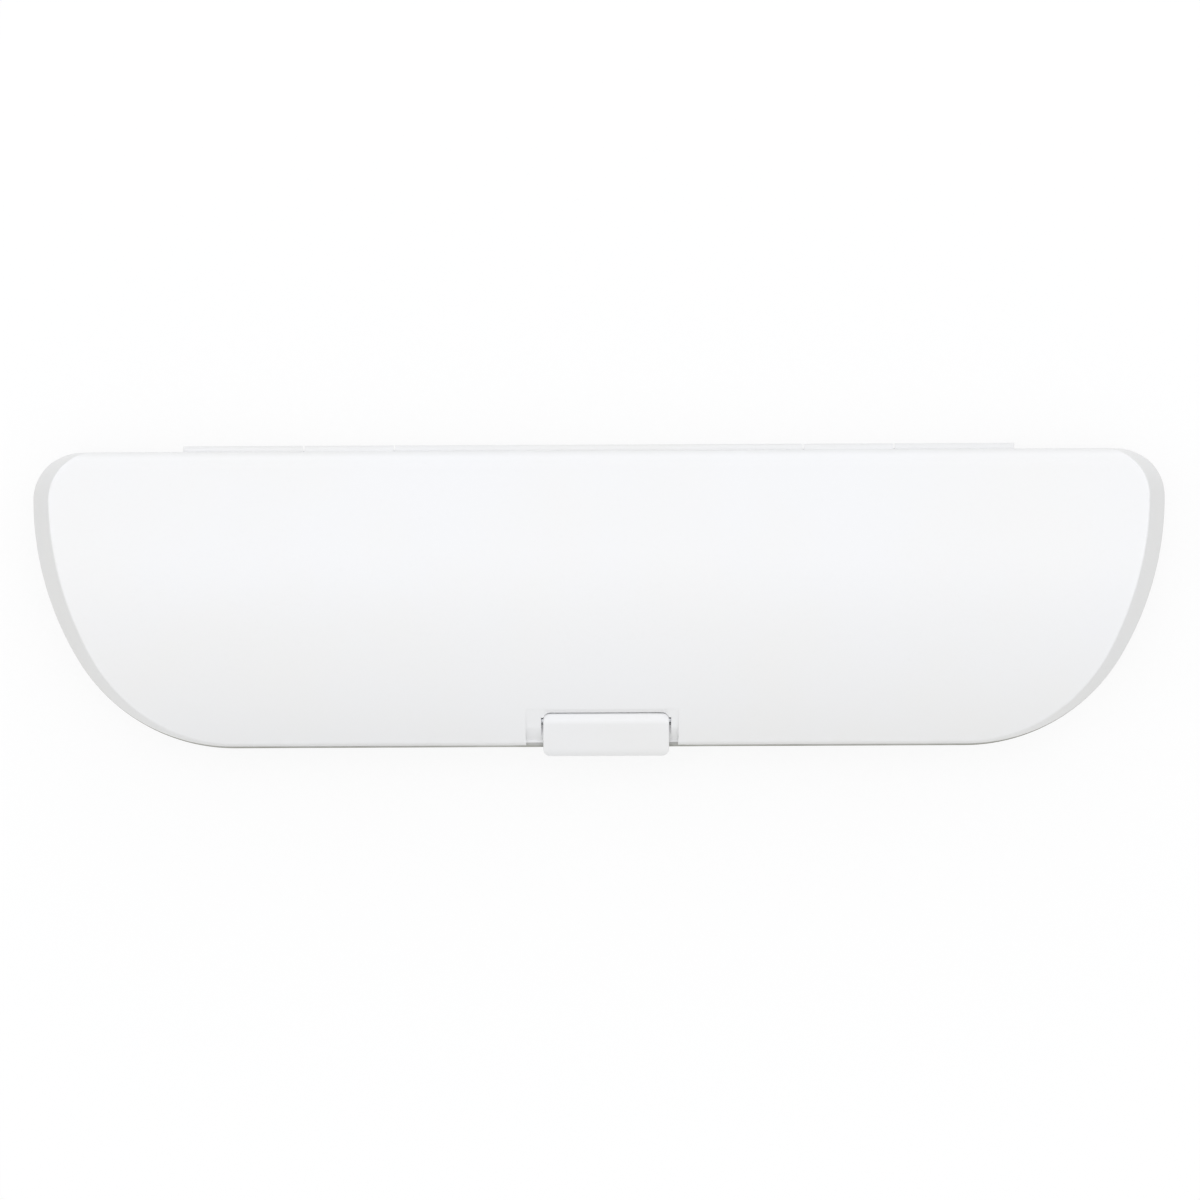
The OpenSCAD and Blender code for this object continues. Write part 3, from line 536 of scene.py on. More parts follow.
def smooth_edge(line, crisp, straight):
    """Radius of a shell's edge: one value round the ends and the front, a small one along the back, where
    the section is already round, and a blend between them over the corners."""
    share = np.where(line.kind == 3, 1.0, np.where(line.kind == 2, line.rise, 0.0))
    front = np.where(line.kind == 0, straight, crisp)
    return front + (0.12 - front) * share


def lid_shell(material):
    """The lid, with the latch's recess cut into its front and the solid behind it inside."""
    ease = [LATCH_W / 2 - LATCH_CORNER_R * f for f in (0.0, 0.1, 0.25, 0.45, 0.7, 1.0)]
    end, mid, outside = KNUCKLE_END - KNUCKLE_GAP / 2, KNUCKLE_MID + KNUCKLE_GAP / 2, HINGE_HALF + KNUCKLE_GAP
    line = Outline(CASE_D, [*RECESS, *TROUGH, *BOSS, *RIM_BREAK, -end, end, -mid, mid,
                            *(LATCH_X + f for f in ease), *(LATCH_X - f for f in ease)], [outside])
    x = np.abs(line.probe)
    knuckle = (x > mid) & (x < end)
    inside = WALL - TONGUE_T - TONGUE_GAP
    seal = [(inside - 0.15, 0), (inside, 0.12), (inside, 1.6), (inside + 0.05, 1.7), (WALL - 0.1, 1.7),
            (WALL, 1.77), (WALL, 2.2)]
    front = line.kind == 0
    recess, trough = front & line.between(RECESS), front & line.between(TROUGH)
    points, wear_and_shade = shell(line, 1, lid_lean, crown, smooth_edge(line, 0.35, 0.35),
                         knuckle, x > outside, seal, recess.astype(float))
    rows = (ROWS_CROWN, ROWS_CROWN + ROWS_EDGE)
    section(points, rows, recess & ~trough, recess_line())
    for k in np.flatnonzero(trough):
        section(points, rows, np.array([k]), recess_line(points[0, k, 0]))
    first = rows[1] + ROWS_HINGE + 2
    section(points, (first, first + 20), front & line.between(BOSS), boss_line())
    parts = [(points, grid_faces(len(points), line.n, wrap=True), wear_and_shade), *ribs(1, crown)]
    return put("lid_shell_skin", parts, "lid", material, ["lid_shell"])


def base_shell(material):
    """The base, with the catch ridge on its front wall and a tube for the pin at each end of the hinge."""
    end, mid, outside = KNUCKLE_END + KNUCKLE_GAP / 2, KNUCKLE_MID - KNUCKLE_GAP / 2, HINGE_HALF - HINGE_TUBE
    ridge = (RECESS_X - RIDGE_L / 2, RECESS_X + RIDGE_L / 2)
    line = Outline(BASE_D, [*ridge, *RIM_BREAK, -end, end, -mid, mid], [outside])
    x = np.abs(line.probe)
    knuckle = (x < mid) | ((x > end) & (x < outside))
    outer = WALL - TONGUE_T
    seal = [(outer - 0.1, 0), (outer, -0.1), (outer, -1.3), (outer + 0.1, -TONGUE_H), (WALL - 0.1, -TONGUE_H),
            (WALL, -1.3), (WALL, 0.5)]
    # The front edge's soft rounding fades into the foot's round along the end arcs
    height = belly(line.wall(0.0, BASE_DRAFT * 0.7)[:, 1])
    faded = FOOT_R + (FRONT_FOOT_R - FOOT_R) * np.clip(height / 7.0, 0, 1)
    edge_r = np.where(line.kind == 1, faded, smooth_edge(line, FOOT_R, FRONT_FOOT_R))
    points, wear_and_shade = shell(line, -1, base_lean, belly, edge_r, knuckle, x > outside, seal)
    last = ROWS_CROWN + ROWS_EDGE
    first = last - len(DOWN_WALL)
    ridged = (line.kind == 0) & line.between(ridge)
    section(points, (first, last), ridged, ridge_line(points[first, np.argmax(ridged), 2]))
    parts = [(points, grid_faces(len(points), line.n, wrap=True), wear_and_shade), *ribs(-1, belly)]
    bore, end, start = HINGE_PIN_R + 0.02, HINGE_HALF, outside - 0.1
    loop = [(start, bore), (end - 0.1, bore), (end, bore + 0.1), (end, KNUCKLE_R - 0.15),
            (end - 0.05, KNUCKLE_R - 0.04), (end - 0.15, KNUCKLE_R), (start, KNUCKLE_R)]
    parts += [turned([(side * a, b) for a, b in loop], HINGE_C, closed=True, wear_and_shade=0.4) for side in (-1, 1)]
    return put("base_shell_skin", parts, "base", material, ["base_shell"])


# ---------------------------------------------------------------- the two inserts

SHEET_T, TRAY_EASE, LINER_EASE, GROWN_EASE, CAP_OUT, CAP_END = 1.0, 1.0, 0.5, 0.02, 1.135, 1.225
SQUEEZE_FROM, SQUEEZE_TO, EDGE_BAND, GRID_BACK = 100.3, 108.8, 2.0, 15.2
SQUEEZED = np.linspace(SQUEEZE_FROM, SQUEEZE_TO, 9)
CORNER_Y, CORNER_BAND, NOTCH_SKIRT = -50.5, 1.0, 5.0


def insert_span(y, depth, inset):
    """Half the plan width at a depth y, of the shells' outline moved in by an inset. The inset may hold the
    draft, as both shorten the arcs alike."""
    front_c, front_r, side_c = end_arcs(depth)
    corner, side, front = [centre[0] + half_chord(radius - inset, y - centre[1]) for centre, radius in
                           ((CORNER_C, CORNER_R), (side_c, SIDE_R), (front_c, front_r))]
    turn_y = side_c[1] - (SIDE_R - inset) * math.sin(math.radians(SIDE_TURN))
    return np.where(y > -CORNER_R, corner, np.where(y > turn_y, side, front))


def round_depth(s, radius, level, ease):
    """Depth below the sheet of a round trough whose centre lies level above the sheet, at a distance s from
    its middle, with its top edge eased: the trough's circle, then a circle that touches it and the sheet."""
    far = half_chord(radius + ease, level + ease)
    eased = ease - half_chord(ease, np.clip(far - s, 0, ease))
    meet = far * radius / (radius + ease)
    return np.where(s < meet, half_chord(radius, s) - level, np.where(s < far, eased, 0.0))


def end_depth(inside, ease):
    """Depth of a nearly upright end wall: an eased top edge, then 60 times as deep as the distance inside."""
    return np.where(inside > 0, ease + inside * 60, ease - half_chord(ease, np.clip(inside + ease, 0, ease)))


def least(a, b, p=8):
    """Rounded minimum of two depths."""
    a, b = np.maximum(a, 1e-4), np.maximum(b, 1e-4)
    return np.where(np.minimum(a, b) < 2e-4, 0.0, (a ** -p + b ** -p) ** (-1 / p))


def most(*depths, p=12):
    """Rounded maximum of depths: the p-th root of the sum of their p-th powers."""
    return np.sum([np.maximum(d, 0) ** p for d in depths], axis=0) ** (1 / p)


def pocket_profile(grow, ease):
    """Depth of a brush head's pocket by the distance from its middle line: floor, round foot, drafted wall and
    eased top edge."""
    r = HEAD_W / 2 + grow
    foot = arc((r - 2.3 - grow, HEAD_DEEP - 2 - grow), 2 + grow, 90, 0, 12)
    return join([(0, HEAD_DEEP)], foot, arc((r - 0.05 + ease, ease), ease, 180, 270, 12), [(60, 0)])


def channel_depth(x, y, grow, ease):
    """Depth of the handle's channel, a round trough between two end walls."""
    return least(round_depth(np.abs(y - HANDLE_Y), HANDLE_R + grow, INSERT_STEP + grow, ease),
                 end_depth(HANDLE_HALF + grow - x, ease))


def tray_depth(x, y, grow=0.0):
    """Depth of the tray's hollows below its sheet: the handle's channel, a pocket on each side, the scoop."""
    x, r = np.abs(x), HEAD_W / 2
    ease = GROWN_EASE if grow else TRAY_EASE
    off = np.hypot(np.maximum(np.maximum(x - (HEAD_LAND + HEAD_L - r), HEAD_LAND + r - x), 0), y - HEAD_Y)
    pocket = np.interp(off, *pocket_profile(grow, ease).T)
    scoop = round_depth(np.hypot(x, y - HEAD_Y - r), SCOOP_R + grow, grow, ease)
    return most(channel_depth(x, y, grow, ease), pocket, scoop)


def liner_depth(x, y, grow=0.0):
    """Height of the liner's hollows above its sheet: the handle's channel and a half-round room a head."""
    x = np.abs(x)
    ease = GROWN_EASE if grow else LINER_EASE
    inside = HEAD_L / 2 + grow - np.abs(x - HEAD_LAND - HEAD_L / 2)
    head = least(round_depth(np.abs(y - HEAD_ROOM_Y), HEAD_ROOM_R + grow, INSERT_STEP + grow, ease),
                 end_depth(inside, ease))
    return most(channel_depth(x, y, grow, ease), head)


def both_sides(values):
    """Places along x from minus to plus, from those on the plus side."""
    values = np.round(values, 4)
    return np.unique(join(-values, values) + 0.0)


def trough_rows(centre, radius, ease, n):
    """Rows across a round trough, evenly by angle, and across its eased edges."""
    far = half_chord(radius + ease, INSERT_STEP + ease)
    meet = math.degrees(math.asin(far / (radius + ease)))
    round_part = radius * np.sin(np.radians(np.linspace(0, meet, n)))
    eased = far - ease * np.cos(quarter(8))[1:]
    if eased[0] < round_part[-1]:
        eased = np.linspace(round_part[-1], far, 8)[1:]
    half = join(round_part, eased)
    return join(centre - half[::-1], centre + half[1:])


def end_columns(at, side, ease):
    """Columns across an end wall whose room lies on the given side of it."""
    steps = np.array([2.0, 1.2, 0.8, 0.5, 0.34, 0.24, 0.2, 0.16, 0.12, 0.08, 0.04, 0.0])
    return join(at + side * steps, at - side * ease * (1 - np.cos(quarter(6)))[1:])


def net(rows, columns, depth, inset, back, capsule, notch, front_from):
    """Plan of an insert's grid. Rows and columns run straight, but follow circles round the pockets' ends. Near
    the shell's ends the columns are squeezed into the outline, and round the pockets' front corners the rows
    are squeezed first."""
    x, y = np.meshgrid(columns[0], rows)
    low = inset - depth
    front = np.full(x.shape, low)
    if notch is not None:
        front[:, (columns[1] > notch[0]) & (columns[1] < notch[1])] = notch[2] + inset - notch[3]
    moved = front_from + (y - front_from) * (front - front_from) / (rows[0] - front_from)
    y = np.where(y < front_from, moved, y)
    last = HANDLE_Y + GRID_BACK
    y = np.where(y > last, last + (y - last) * (back - last) / (rows[-1] - last), y)
    if capsule:
        r = HEAD_W / 2
        for centre, sign in ((HEAD_LAND + HEAD_L - r, 1.0), (HEAD_LAND + r, -1.0)):
            a, b = sign * (np.abs(x) - centre) / r, (y - HEAD_Y) / r
            m = np.maximum(np.maximum(a, np.abs(b)), 1e-6)
            near = (a > 0) & (m < CAP_END)
            t = np.clip((m - CAP_OUT) / (CAP_END - CAP_OUT), 0, 1)
            scale = (1 - t) * m / np.maximum(np.hypot(a, b), 1e-6) + t
            x = np.where(near, np.sign(x) * (centre + sign * a * scale * r), x)
            y = np.where(near, HEAD_Y + b * scale * r, y)
    corner = CORNER_Y if capsule else low

    def squeeze(y):
        """The columns, squeezed between a line inside the outline and the outline."""
        w = insert_span(np.maximum(y, corner), depth, inset)
        a = np.minimum(SQUEEZE_FROM, w - EDGE_BAND)
        return np.where(np.abs(x) > a, np.sign(x) * (a + (np.abs(x) - a) * (w - a) / (SQUEEZE_TO - a)), x)

    if capsule:
        lines = np.linspace(low, corner, 300)
        top = np.interp(np.abs(squeeze(y)), insert_span(lines, depth, inset), lines) + CORNER_BAND
        y = np.where(y < top, top - (top - y) * CORNER_BAND / (top - low), y)
    return squeeze(y), y


def rim_of(*grids):
    """The outer loop of the points of one or more grids laid over each other."""
    grid = np.dstack(grids) if len(grids) > 1 else grids[0]
    return join(grid[0], grid[1:, -1], grid[-1, -2::-1], grid[-2:0:-1, 0])


def insert(up, rows, columns, depth, lean, hollows, cover, notch, front_from):
    """An insert as a closed wall: its face and its underside share one grid, and between their outer loops
    a band runs over the rounded edge, down the skirt and up again inside it. v counts heights from the
    parting line into the shell. A notch makes room for the solid behind the latch."""
    edge = WALL + INSERT_GAP + lean
    back = -RAIL_T - INSERT_GAP
    inner = edge + SHEET_T
    rows = np.unique(np.round(rows, 4))

    def plan(inset):
        return net(rows, columns, depth, inset, back - (inset - edge), notch is None, notch, front_from)

    def room(y):
        return up * (cover(y) - BASE_H)

    x, y = plan(inner)
    face = INSERT_STEP + hollows(x, y)
    under = np.maximum(np.minimum(INSERT_STEP + SHEET_T + hollows(x, y, SHEET_T), room(y)), face + 0.35)
    outer, rim_face, rim_under = rim_of(x, y), rim_of(face), rim_of(under)
    probe = rim_of(np.broadcast_to(columns[1], x.shape))
    short_wall = rim_face + SHEET_T + 0.15
    low = np.where(outer[:, 1] > back - SHEET_T - 0.05, short_wall, INSERT_STEP + INSERT_EDGE)
    if notch is not None:
        behind_latch = (probe > notch[0]) & (probe < notch[1]) & (outer[:, 1] < front_from)
        low = np.where(behind_latch, np.maximum(short_wall, NOTCH_SKIRT), low)
    loops = [np.column_stack([outer, rim_face])]

    def loop(inset, v):
        p = rim_of(*plan(inset))
        loops.append(np.column_stack([p, np.minimum(v, room(p[:, 1]))]))

    for t in np.radians([15, 30, 45, 60, 75, 90]):
        loop(inner - SHEET_T * math.sin(t), rim_face + SHEET_T * (1 - math.cos(t)))
    for share in (0.3, 0.65, 0.95):
        loop(edge, rim_face + SHEET_T + (low - rim_face - SHEET_T) * share)
    loop(edge + 0.1, low)
    loop(inner - 0.1, low)
    inside = np.maximum(np.minimum(low - 0.1, room(outer[:, 1])), rim_under)
    loops += [np.column_stack([outer, inside]), np.column_stack([outer, rim_under])]
    every = join(*[np.dstack([x, y, v]).reshape(-1, 3) for v in (face, under)], *loops)
    every[:, 2] = BASE_H + up * every[:, 2]
    slope = np.zeros(x.shape)
    slope[1:-1, 1:-1] = np.abs(face[2:, 1:-1] + face[:-2, 1:-1] + face[1:-1, 2:] + face[1:-1, :-2]
                               - 4 * face[1:-1, 1:-1])
    worn = np.clip(slope * 6, 0, 1).reshape(-1)
    faces, n = grid_faces(*x.shape), x.size
    quads = join(faces, faces[:, ::-1] + n, grid_faces(len(loops), len(outer), wrap=True) + 2 * n)
    return every, quads, join(worn, 0 * worn, np.full(len(every) - 2 * n, 0.5))


def base_tray(material):
    """The tray: its rows and columns lie close where its hollows curve."""
    ring = join(np.linspace(0, 5.2, 13), 5.2 + 2 * np.sin(quarter(9))[1:], np.linspace(7.2, 7.45, 5)[1:],
                8.45 - np.cos(quarter(8))[1:], np.linspace(CAP_OUT * 7.5, CAP_END * 7.5, 4)) * HEAD_W / 15
    rows = join([-54.9, -54.86, -54.8, -54.72], HEAD_Y + ring, HEAD_Y - ring,
                trough_rows(HANDLE_Y, HANDLE_R, TRAY_EASE, 17), [HANDLE_Y + 15.7])
    near, far = HEAD_LAND + HEAD_W / 2, HEAD_LAND + HEAD_L - HEAD_W / 2
    x = both_sides(join(np.linspace(0, 5.2, 16), near - ring[ring < 9.6], np.linspace(near, far, 21), far + ring,
                        np.linspace(86.5, 96.5, 5), end_columns(HANDLE_HALF, -1, TRAY_EASE), SQUEEZED))
    part = insert(-1, rows, (x, x), BASE_D, base_lean(TRAY_Z), tray_depth, lambda y: 0 * y, None, -54.7)
    return put("base_tray_insert", [part], "base", material, ["base_tray"])


def lid_liner(material):
    """The liner, with a notch in its front for the solid behind the latch."""
    low, high = RIM_BREAK[0] - INSERT_GAP, RIM_BREAK[1] + INSERT_GAP
    back = PIVOT_C[0] + BOSS_R + INSERT_GAP
    rows = join([-54.01, -53.97, -53.87, -53.6, -53.2, -52.6, -52.0],
                trough_rows(HEAD_ROOM_Y, HEAD_ROOM_R, LINER_EASE, 13),
                trough_rows(HANDLE_Y, HANDLE_R, LINER_EASE, 17), [HANDLE_Y + 15.3, HANDLE_Y + 15.7])
    side = join(np.linspace(0, 5.5, 5), end_columns(HEAD_LAND, 1, LINER_EASE), np.linspace(11, 80, 24),
                end_columns(HEAD_LAND + HEAD_L, -1, LINER_EASE), np.linspace(85.5, 96.5, 5),
                end_columns(HANDLE_HALF, -1, LINER_EASE), SQUEEZED)
    lean = lid_lean(LINER_Z + INSERT_EDGE)
    part = insert(1, rows, split_line(both_sides(side), [low, high]), CASE_D, lean, liner_depth,
                  lambda y: crown(y, WALL + INSERT_GAP), (low, high, back, WALL + INSERT_GAP + lean),
                  back + SHEET_T + 0.4)
    return put("lid_liner_insert", [part], "lid", material, ["lid_liner"])


# ---------------------------------------------------------------- soft pieces, pins and the latch

def saddle(name, x, up, body, material):
    """Soft saddle on the wall of the handle's channel: a bent plate by angle and length. Its thickness is
    full but for rounded edges, and shallow grooves run round it."""
    round_half, half = math.radians(PAD_ANGLE / 2) * HANDLE_R, PAD_L / 2

    def places(reach, n):
        """Places across, closer near both edges."""
        outer = reach - PAD_EASE + PAD_EASE * np.sin(quarter(7, 10))
        return join(-outer[::-1], np.linspace(PAD_EASE - reach, reach - PAD_EASE, n), outer)

    def rise(p, reach):
        """Share of the thickness at a place, less near the edge."""
        return half_chord(1, np.clip(PAD_EASE - (reach - np.abs(p)), 0, PAD_EASE) / PAD_EASE)

    a, b = np.meshgrid(places(round_half, 29), places(half, 49), indexing="ij")
    lift = np.minimum(rise(a, round_half), rise(b, half))
    grooved = (np.abs(b) < half - 2.2) & (np.abs(a) < round_half - 1.6)
    groove = GROOVE_DEEP * np.exp(-((b + GROOVE_STEP / 2) % GROOVE_STEP - GROOVE_STEP / 2) ** 2 / 0.1) * grooved
    top = np.minimum(HANDLE_R - 0.06 - (PAD_T - 0.06) * lift + groove * lift, HANDLE_R - 0.05)
    angle = a / HANDLE_R
    outer, inner = [np.dstack([x + b, HANDLE_Y + radius * np.sin(angle), BASE_H + up * radius * np.cos(angle)])
                    for radius in (HANDLE_R - 0.03, top)]
    rims = join(rim_of(outer), rim_of(inner))
    faces, n = grid_faces(*a.shape), a.size
    quads = join(faces, faces[:, ::-1] + n, grid_faces(2, len(rims) // 2, wrap=True) + 2 * n)
    part = (join(outer.reshape(-1, 3), inner.reshape(-1, 3), rims), quads, 0.0)
    put(name + "_soft", [part], body, material, [name], sharp=60.0)


def carried(rings, wear_and_shade=0.0):
    """A loop of points carried along x: one ring after another, closed at both ends by a ladder between the
    two halves of the loop, whose rungs join point i to point -i."""
    count, half = len(rings[0]), len(rings[0]) // 2
    i = np.arange(half)
    ladder = np.stack([i, i + 1, count - i - 1, (count - i) % count], 1)
    ladder[0, 3], ladder[-1, 2] = ladder[0, 2], ladder[-1, 3]
    near = ladder[:, [2, 1, 0, 3]]
    near[0], near[-1] = [count - 1, 1, 0, 0], [half + 1, half, half - 1, half - 1]
    faces = join(grid_faces(len(rings), count, wrap=True), near, ladder + (len(rings) - 1) * count)
    return join(*rings), faces, wear_and_shade


def outward(loop):
    """Unit normals of a closed loop in y and z, pointing out of it."""
    tangent = np.roll(loop, -1, 0) - np.roll(loop, 1, 0)
    normal = np.stack([tangent[:, 1], -tangent[:, 0]], 1)
    normal /= np.linalg.norm(normal, axis=1)[:, None] + 1e-12
    area = np.sum(loop[:, 0] * np.roll(loop[:, 1], -1) - np.roll(loop[:, 0], -1) * loop[:, 1])
    return normal * np.sign(area)


def eased_ends(x0, x1, ease, n, steps=7):
    """Places along x with the inset of a rounded end at each: (x, inset)."""
    t = quarter(n)
    near = np.stack([ease * (1 - np.cos(t)), ease * (1 - np.sin(t))], 1)
    middle = np.linspace(ease, (x1 - x0) / 2, steps)[1:]
    reach = join(near, np.stack([middle, 0 * middle], 1))
    return join(reach + (x0, 0), (reach * MIRROR + (x1, 0))[::-1][1:])


def head_rest(name, side, material):
    """Notched soft block on the floor of a pocket: its outline in y and z, carried along x, with rounded ends
    and a rounded foot that clears the pocket's."""
    floor_z = TRAY_Z - HEAD_DEEP + 0.03
    half, top, notch_z = HEAD_W / 2 - 0.03, TRAY_Z - HEAD_DEEP + REST_H, TRAY_Z - HEAD_DEEP + REST_H * 0.6
    throat, rise = REST_NOTCH_R * 0.8, REST_NOTCH_R * 0.6
    outside = join(arc((half - 0.8, top - 0.8), 0.8, 90, 0, 6), [(half - 0.14, floor_z + 4.2)],
                   arc((half - 2.6, floor_z + 2.3), 2.3, 0, -90, 8), [(half * 0.4, floor_z), (half * 0.2, floor_z)])
    notch = join(arc((throat + 0.45, top - 0.45), 0.45, 90, 180, 5),
                 [(throat, top - 0.7), (throat, notch_z + rise + 0.1)],
                 arc((0, notch_z), REST_NOTCH_R, heading((throat, rise)), -90, 11)[:-1])
    land = (throat + half) / 2
    loop = join([(land, top)], outside, [(0, floor_z)], (outside * MIRROR)[::-1], [(-land, top)],
                notch * MIRROR, [(0, notch_z - REST_NOTCH_R)], notch[::-1])
    normal = outward(loop)
    rings = [at_x(px, loop - normal * inset + (HEAD_Y, 0))
             for px, inset in eased_ends(side * REST_X - REST_L / 2, side * REST_X + REST_L / 2, 0.4, 6)]
    for ring in rings:
        ring[:, 2] = np.maximum(ring[:, 2], floor_z)
    put(name + "_soft", [carried(rings)], "base", material, [name], sharp=50.0)


def pins(material):
    outer, inner = HINGE_HALF - 1.0, HINGE_HALF - 1.0 - HINGE_PIN_L
    half = LATCH_PIN_L / 2
    for name, body, profile, centre, n in (
            ("hinge_pin_left", "base", bar_profile(-outer, -inner, HINGE_PIN_R, 0.2), HINGE_C, 32),
            ("hinge_pin_right", "base", bar_profile(inner, outer, HINGE_PIN_R, 0.2), HINGE_C, 32),
            ("latch_pin", "lid", bar_profile(LATCH_X - half, LATCH_X + half, LATCH_PIN_R), PIVOT_C, 28)):
        put(name + "_steel", [turned(profile, centre, n)], body, material, [name])


def latch(material):
    """The latch: an outer line from the lip over the bend to the barrel and an inner line back, carried along
    x. Near both ends it is drawn in by the small rounding of its edges, and held inside the rounded plan."""
    slope, n = math.radians(LATCH_SLOPE), PLATE_N
    face = -CASE_D - LATCH_OUT
    inner_y, bend_y = face + LATCH_T, face + LATCH_BEND_R
    top = PIVOT_C + BARREL_R * n
    run = (top[0] - (bend_y + LATCH_BEND_R * n[0])) / math.cos(slope)
    bend = np.array([bend_y, top[1] - run * math.sin(slope) - LATCH_BEND_R * n[1]])
    first, last, head = 90 + LATCH_SLOPE, LATCH_SLOPE - 90, BARREL_R - LATCH_HEAD_R
    under = BARREL_R - LATCH_T
    leave = 180 + LATCH_SLOPE - heading((half_chord(BARREL_R, under), under))
    barrel = arc(PIVOT_C, BARREL_R, leave, 360 + last, 27)
    outer = join(spread([(LIP_Y - 0.5, LATCH_LOW), (face + 0.7, LATCH_LOW)], 3),
                 arc((face + 0.7, LATCH_LOW + 0.7), 0.7, 270, 180, 6)[1:],
                 spread([(face, LATCH_LOW + 0.7), (face, bend[1])], 6)[1:-1],
                 arc(bend, LATCH_BEND_R, 180, first, 13), spread([bend + LATCH_BEND_R * n, top], 4)[1:-1],
                 arc(PIVOT_C, BARREL_R, first, 90, 8),
                 spread([PIVOT_C + (0, BARREL_R), PIVOT_C + (head, BARREL_R)], 4)[1:-1],
                 arc(PIVOT_C + head, LATCH_HEAD_R, 90, 0, 9),
                 spread([PIVOT_C + (BARREL_R, head), PIVOT_C + (BARREL_R, 0)], 4)[1:-1],
                 arc(PIVOT_C, BARREL_R, 0, last, 6))
    inner_r = LATCH_BEND_R - LATCH_T
    inner = join(arc((LIP_Y - 0.25, LATCH_LOW + 0.25), 0.25, 270, 360, 3),
                 [(LIP_Y, LATCH_LOW + 0.5), (LIP_Y, LIP_TOP - 0.1), (LIP_Y - 0.1, LIP_TOP + 0.05),
                  (inner_y + 0.02, LIP_TOP + 0.47)],
                 spread([(inner_y, LIP_TOP + 0.6), (inner_y, bend[1])], 6)[1:-1],
                 arc(bend, inner_r, 180, first, 13), spread([bend + inner_r * n, barrel[0]], 4)[1:-1], barrel)
    loop = join(outer, inner[::-1][1:])
    normal = outward(loop)
    from_end = [radius * (1 - np.sin(quarter(n))) for radius, n in ((LATCH_EASE, 6), (LATCH_CORNER_R, 10))]
    steps = join(np.unique(join(*from_end)), np.linspace(LATCH_CORNER_R, LATCH_W / 2, 6)[1:])
    places = join(LATCH_X - LATCH_W / 2 + steps, (LATCH_X + LATCH_W / 2 - steps)[::-1][1:])
    near = np.minimum(places - places[0], places[-1] - places)
    rings = []
    for px, inset, corner in zip(places, drawn_in(LATCH_EASE, near), drawn_in(LATCH_CORNER_R, near)):
        ring = loop - normal * inset
        ring[:, 0] = np.clip(ring[:, 0], face + corner, PIVOT_C[0] + BARREL_R - corner)
        rings.append(at_x(px, ring))
    worn = np.repeat(np.exp(-near / 0.6), len(loop))
    put("latch_plate", [carried(rings, worn)], "latch", material, ["latch"])


# ---------------------------------------------------------------- materials

def add(tree, kind, inputs=None, **settings):
    """A shader node with its settings; inputs are plain values or sockets to link from."""
    made = tree.nodes.new("ShaderNode" + kind)
    for key, value in settings.items():
        setattr(made, key, value)
    for key, value in (inputs or {}).items():
        if isinstance(value, bpy.types.NodeSocket):
            tree.links.new(value, made.inputs[key])
        else:
            made.inputs[key].default_value = value
    return made


def effect(name, inputs, outputs):
    """An empty node group with number inputs and outputs by name. Gives the group, its input node's sockets
    and a function that links the outputs in turn and gives the group."""
    tree = bpy.data.node_groups.new(name, "ShaderNodeTree")
    for label, value in inputs.items():
        tree.interface.new_socket(label, in_out="INPUT", socket_type="NodeSocketFloat").default_value = value
    for label in outputs:
        tree.interface.new_socket(label, in_out="OUTPUT", socket_type="NodeSocketFloat")
    given, result = tree.nodes.new("NodeGroupInput").outputs, tree.nodes.new("NodeGroupOutput")

    def finish(*values):
        for label, value in zip(outputs, values):
            tree.links.new(value, result.inputs[label])
        return tree

    return tree, given, finish


def maths(tree, operation, a, b=0.0, clamp=False):
    """Output of a Math node."""
    return add(tree, "Math", {0: a, 1: b}, operation=operation, use_clamp=clamp).outputs[0]


def times(tree, a, b, plus=None, clamp=False):
    """Output of a Math node that gives a times b, and plus more where it is given."""
    if plus is None:
        return maths(tree, "MULTIPLY", a, b, clamp)
    return add(tree, "Math", {0: a, 1: b, 2: plus}, operation="MULTIPLY_ADD", use_clamp=clamp).outputs[0]


def noise(tree, scale, detail=2.0, rough=0.5, stretch=None):
    """Noise on Object coordinates, by its scale per metre; stretch scales the axes unequally."""
    where = add(tree, "TexCoord").outputs["Object"]
    if stretch:
        where = add(tree, "Mapping", {"Vector": where, "Scale": stretch}).outputs[0]
    inputs = {"Vector": where, "Scale": scale, "Detail": detail, "Roughness": rough}
    return add(tree, "TexNoise", inputs).outputs["Fac"]


def band(tree, value, low, high):
    """0 below low, 1 above high and smooth between."""
    inputs = {"Value": value, "From Min": low, "From Max": high}
    return add(tree, "MapRange", inputs, interpolation_type="SMOOTHSTEP").outputs[0]


def grain_effect():
    """Height of a moulded skin: fine spark-eroded grain over a slow sink and flow waviness."""
    inputs = {"Grain Scale": 2400.0, "Grain": 0.5, "Waviness": 0.5}
    tree, given, finish = effect("moulded_grain", inputs, ["Height"])
    fine = noise(tree, given["Grain Scale"], 2.0, 0.6)
    slow = noise(tree, 55.0, 1.0, 0.4)
    return finish(times(tree, fine, given["Grain"], times(tree, slow, given["Waviness"])))


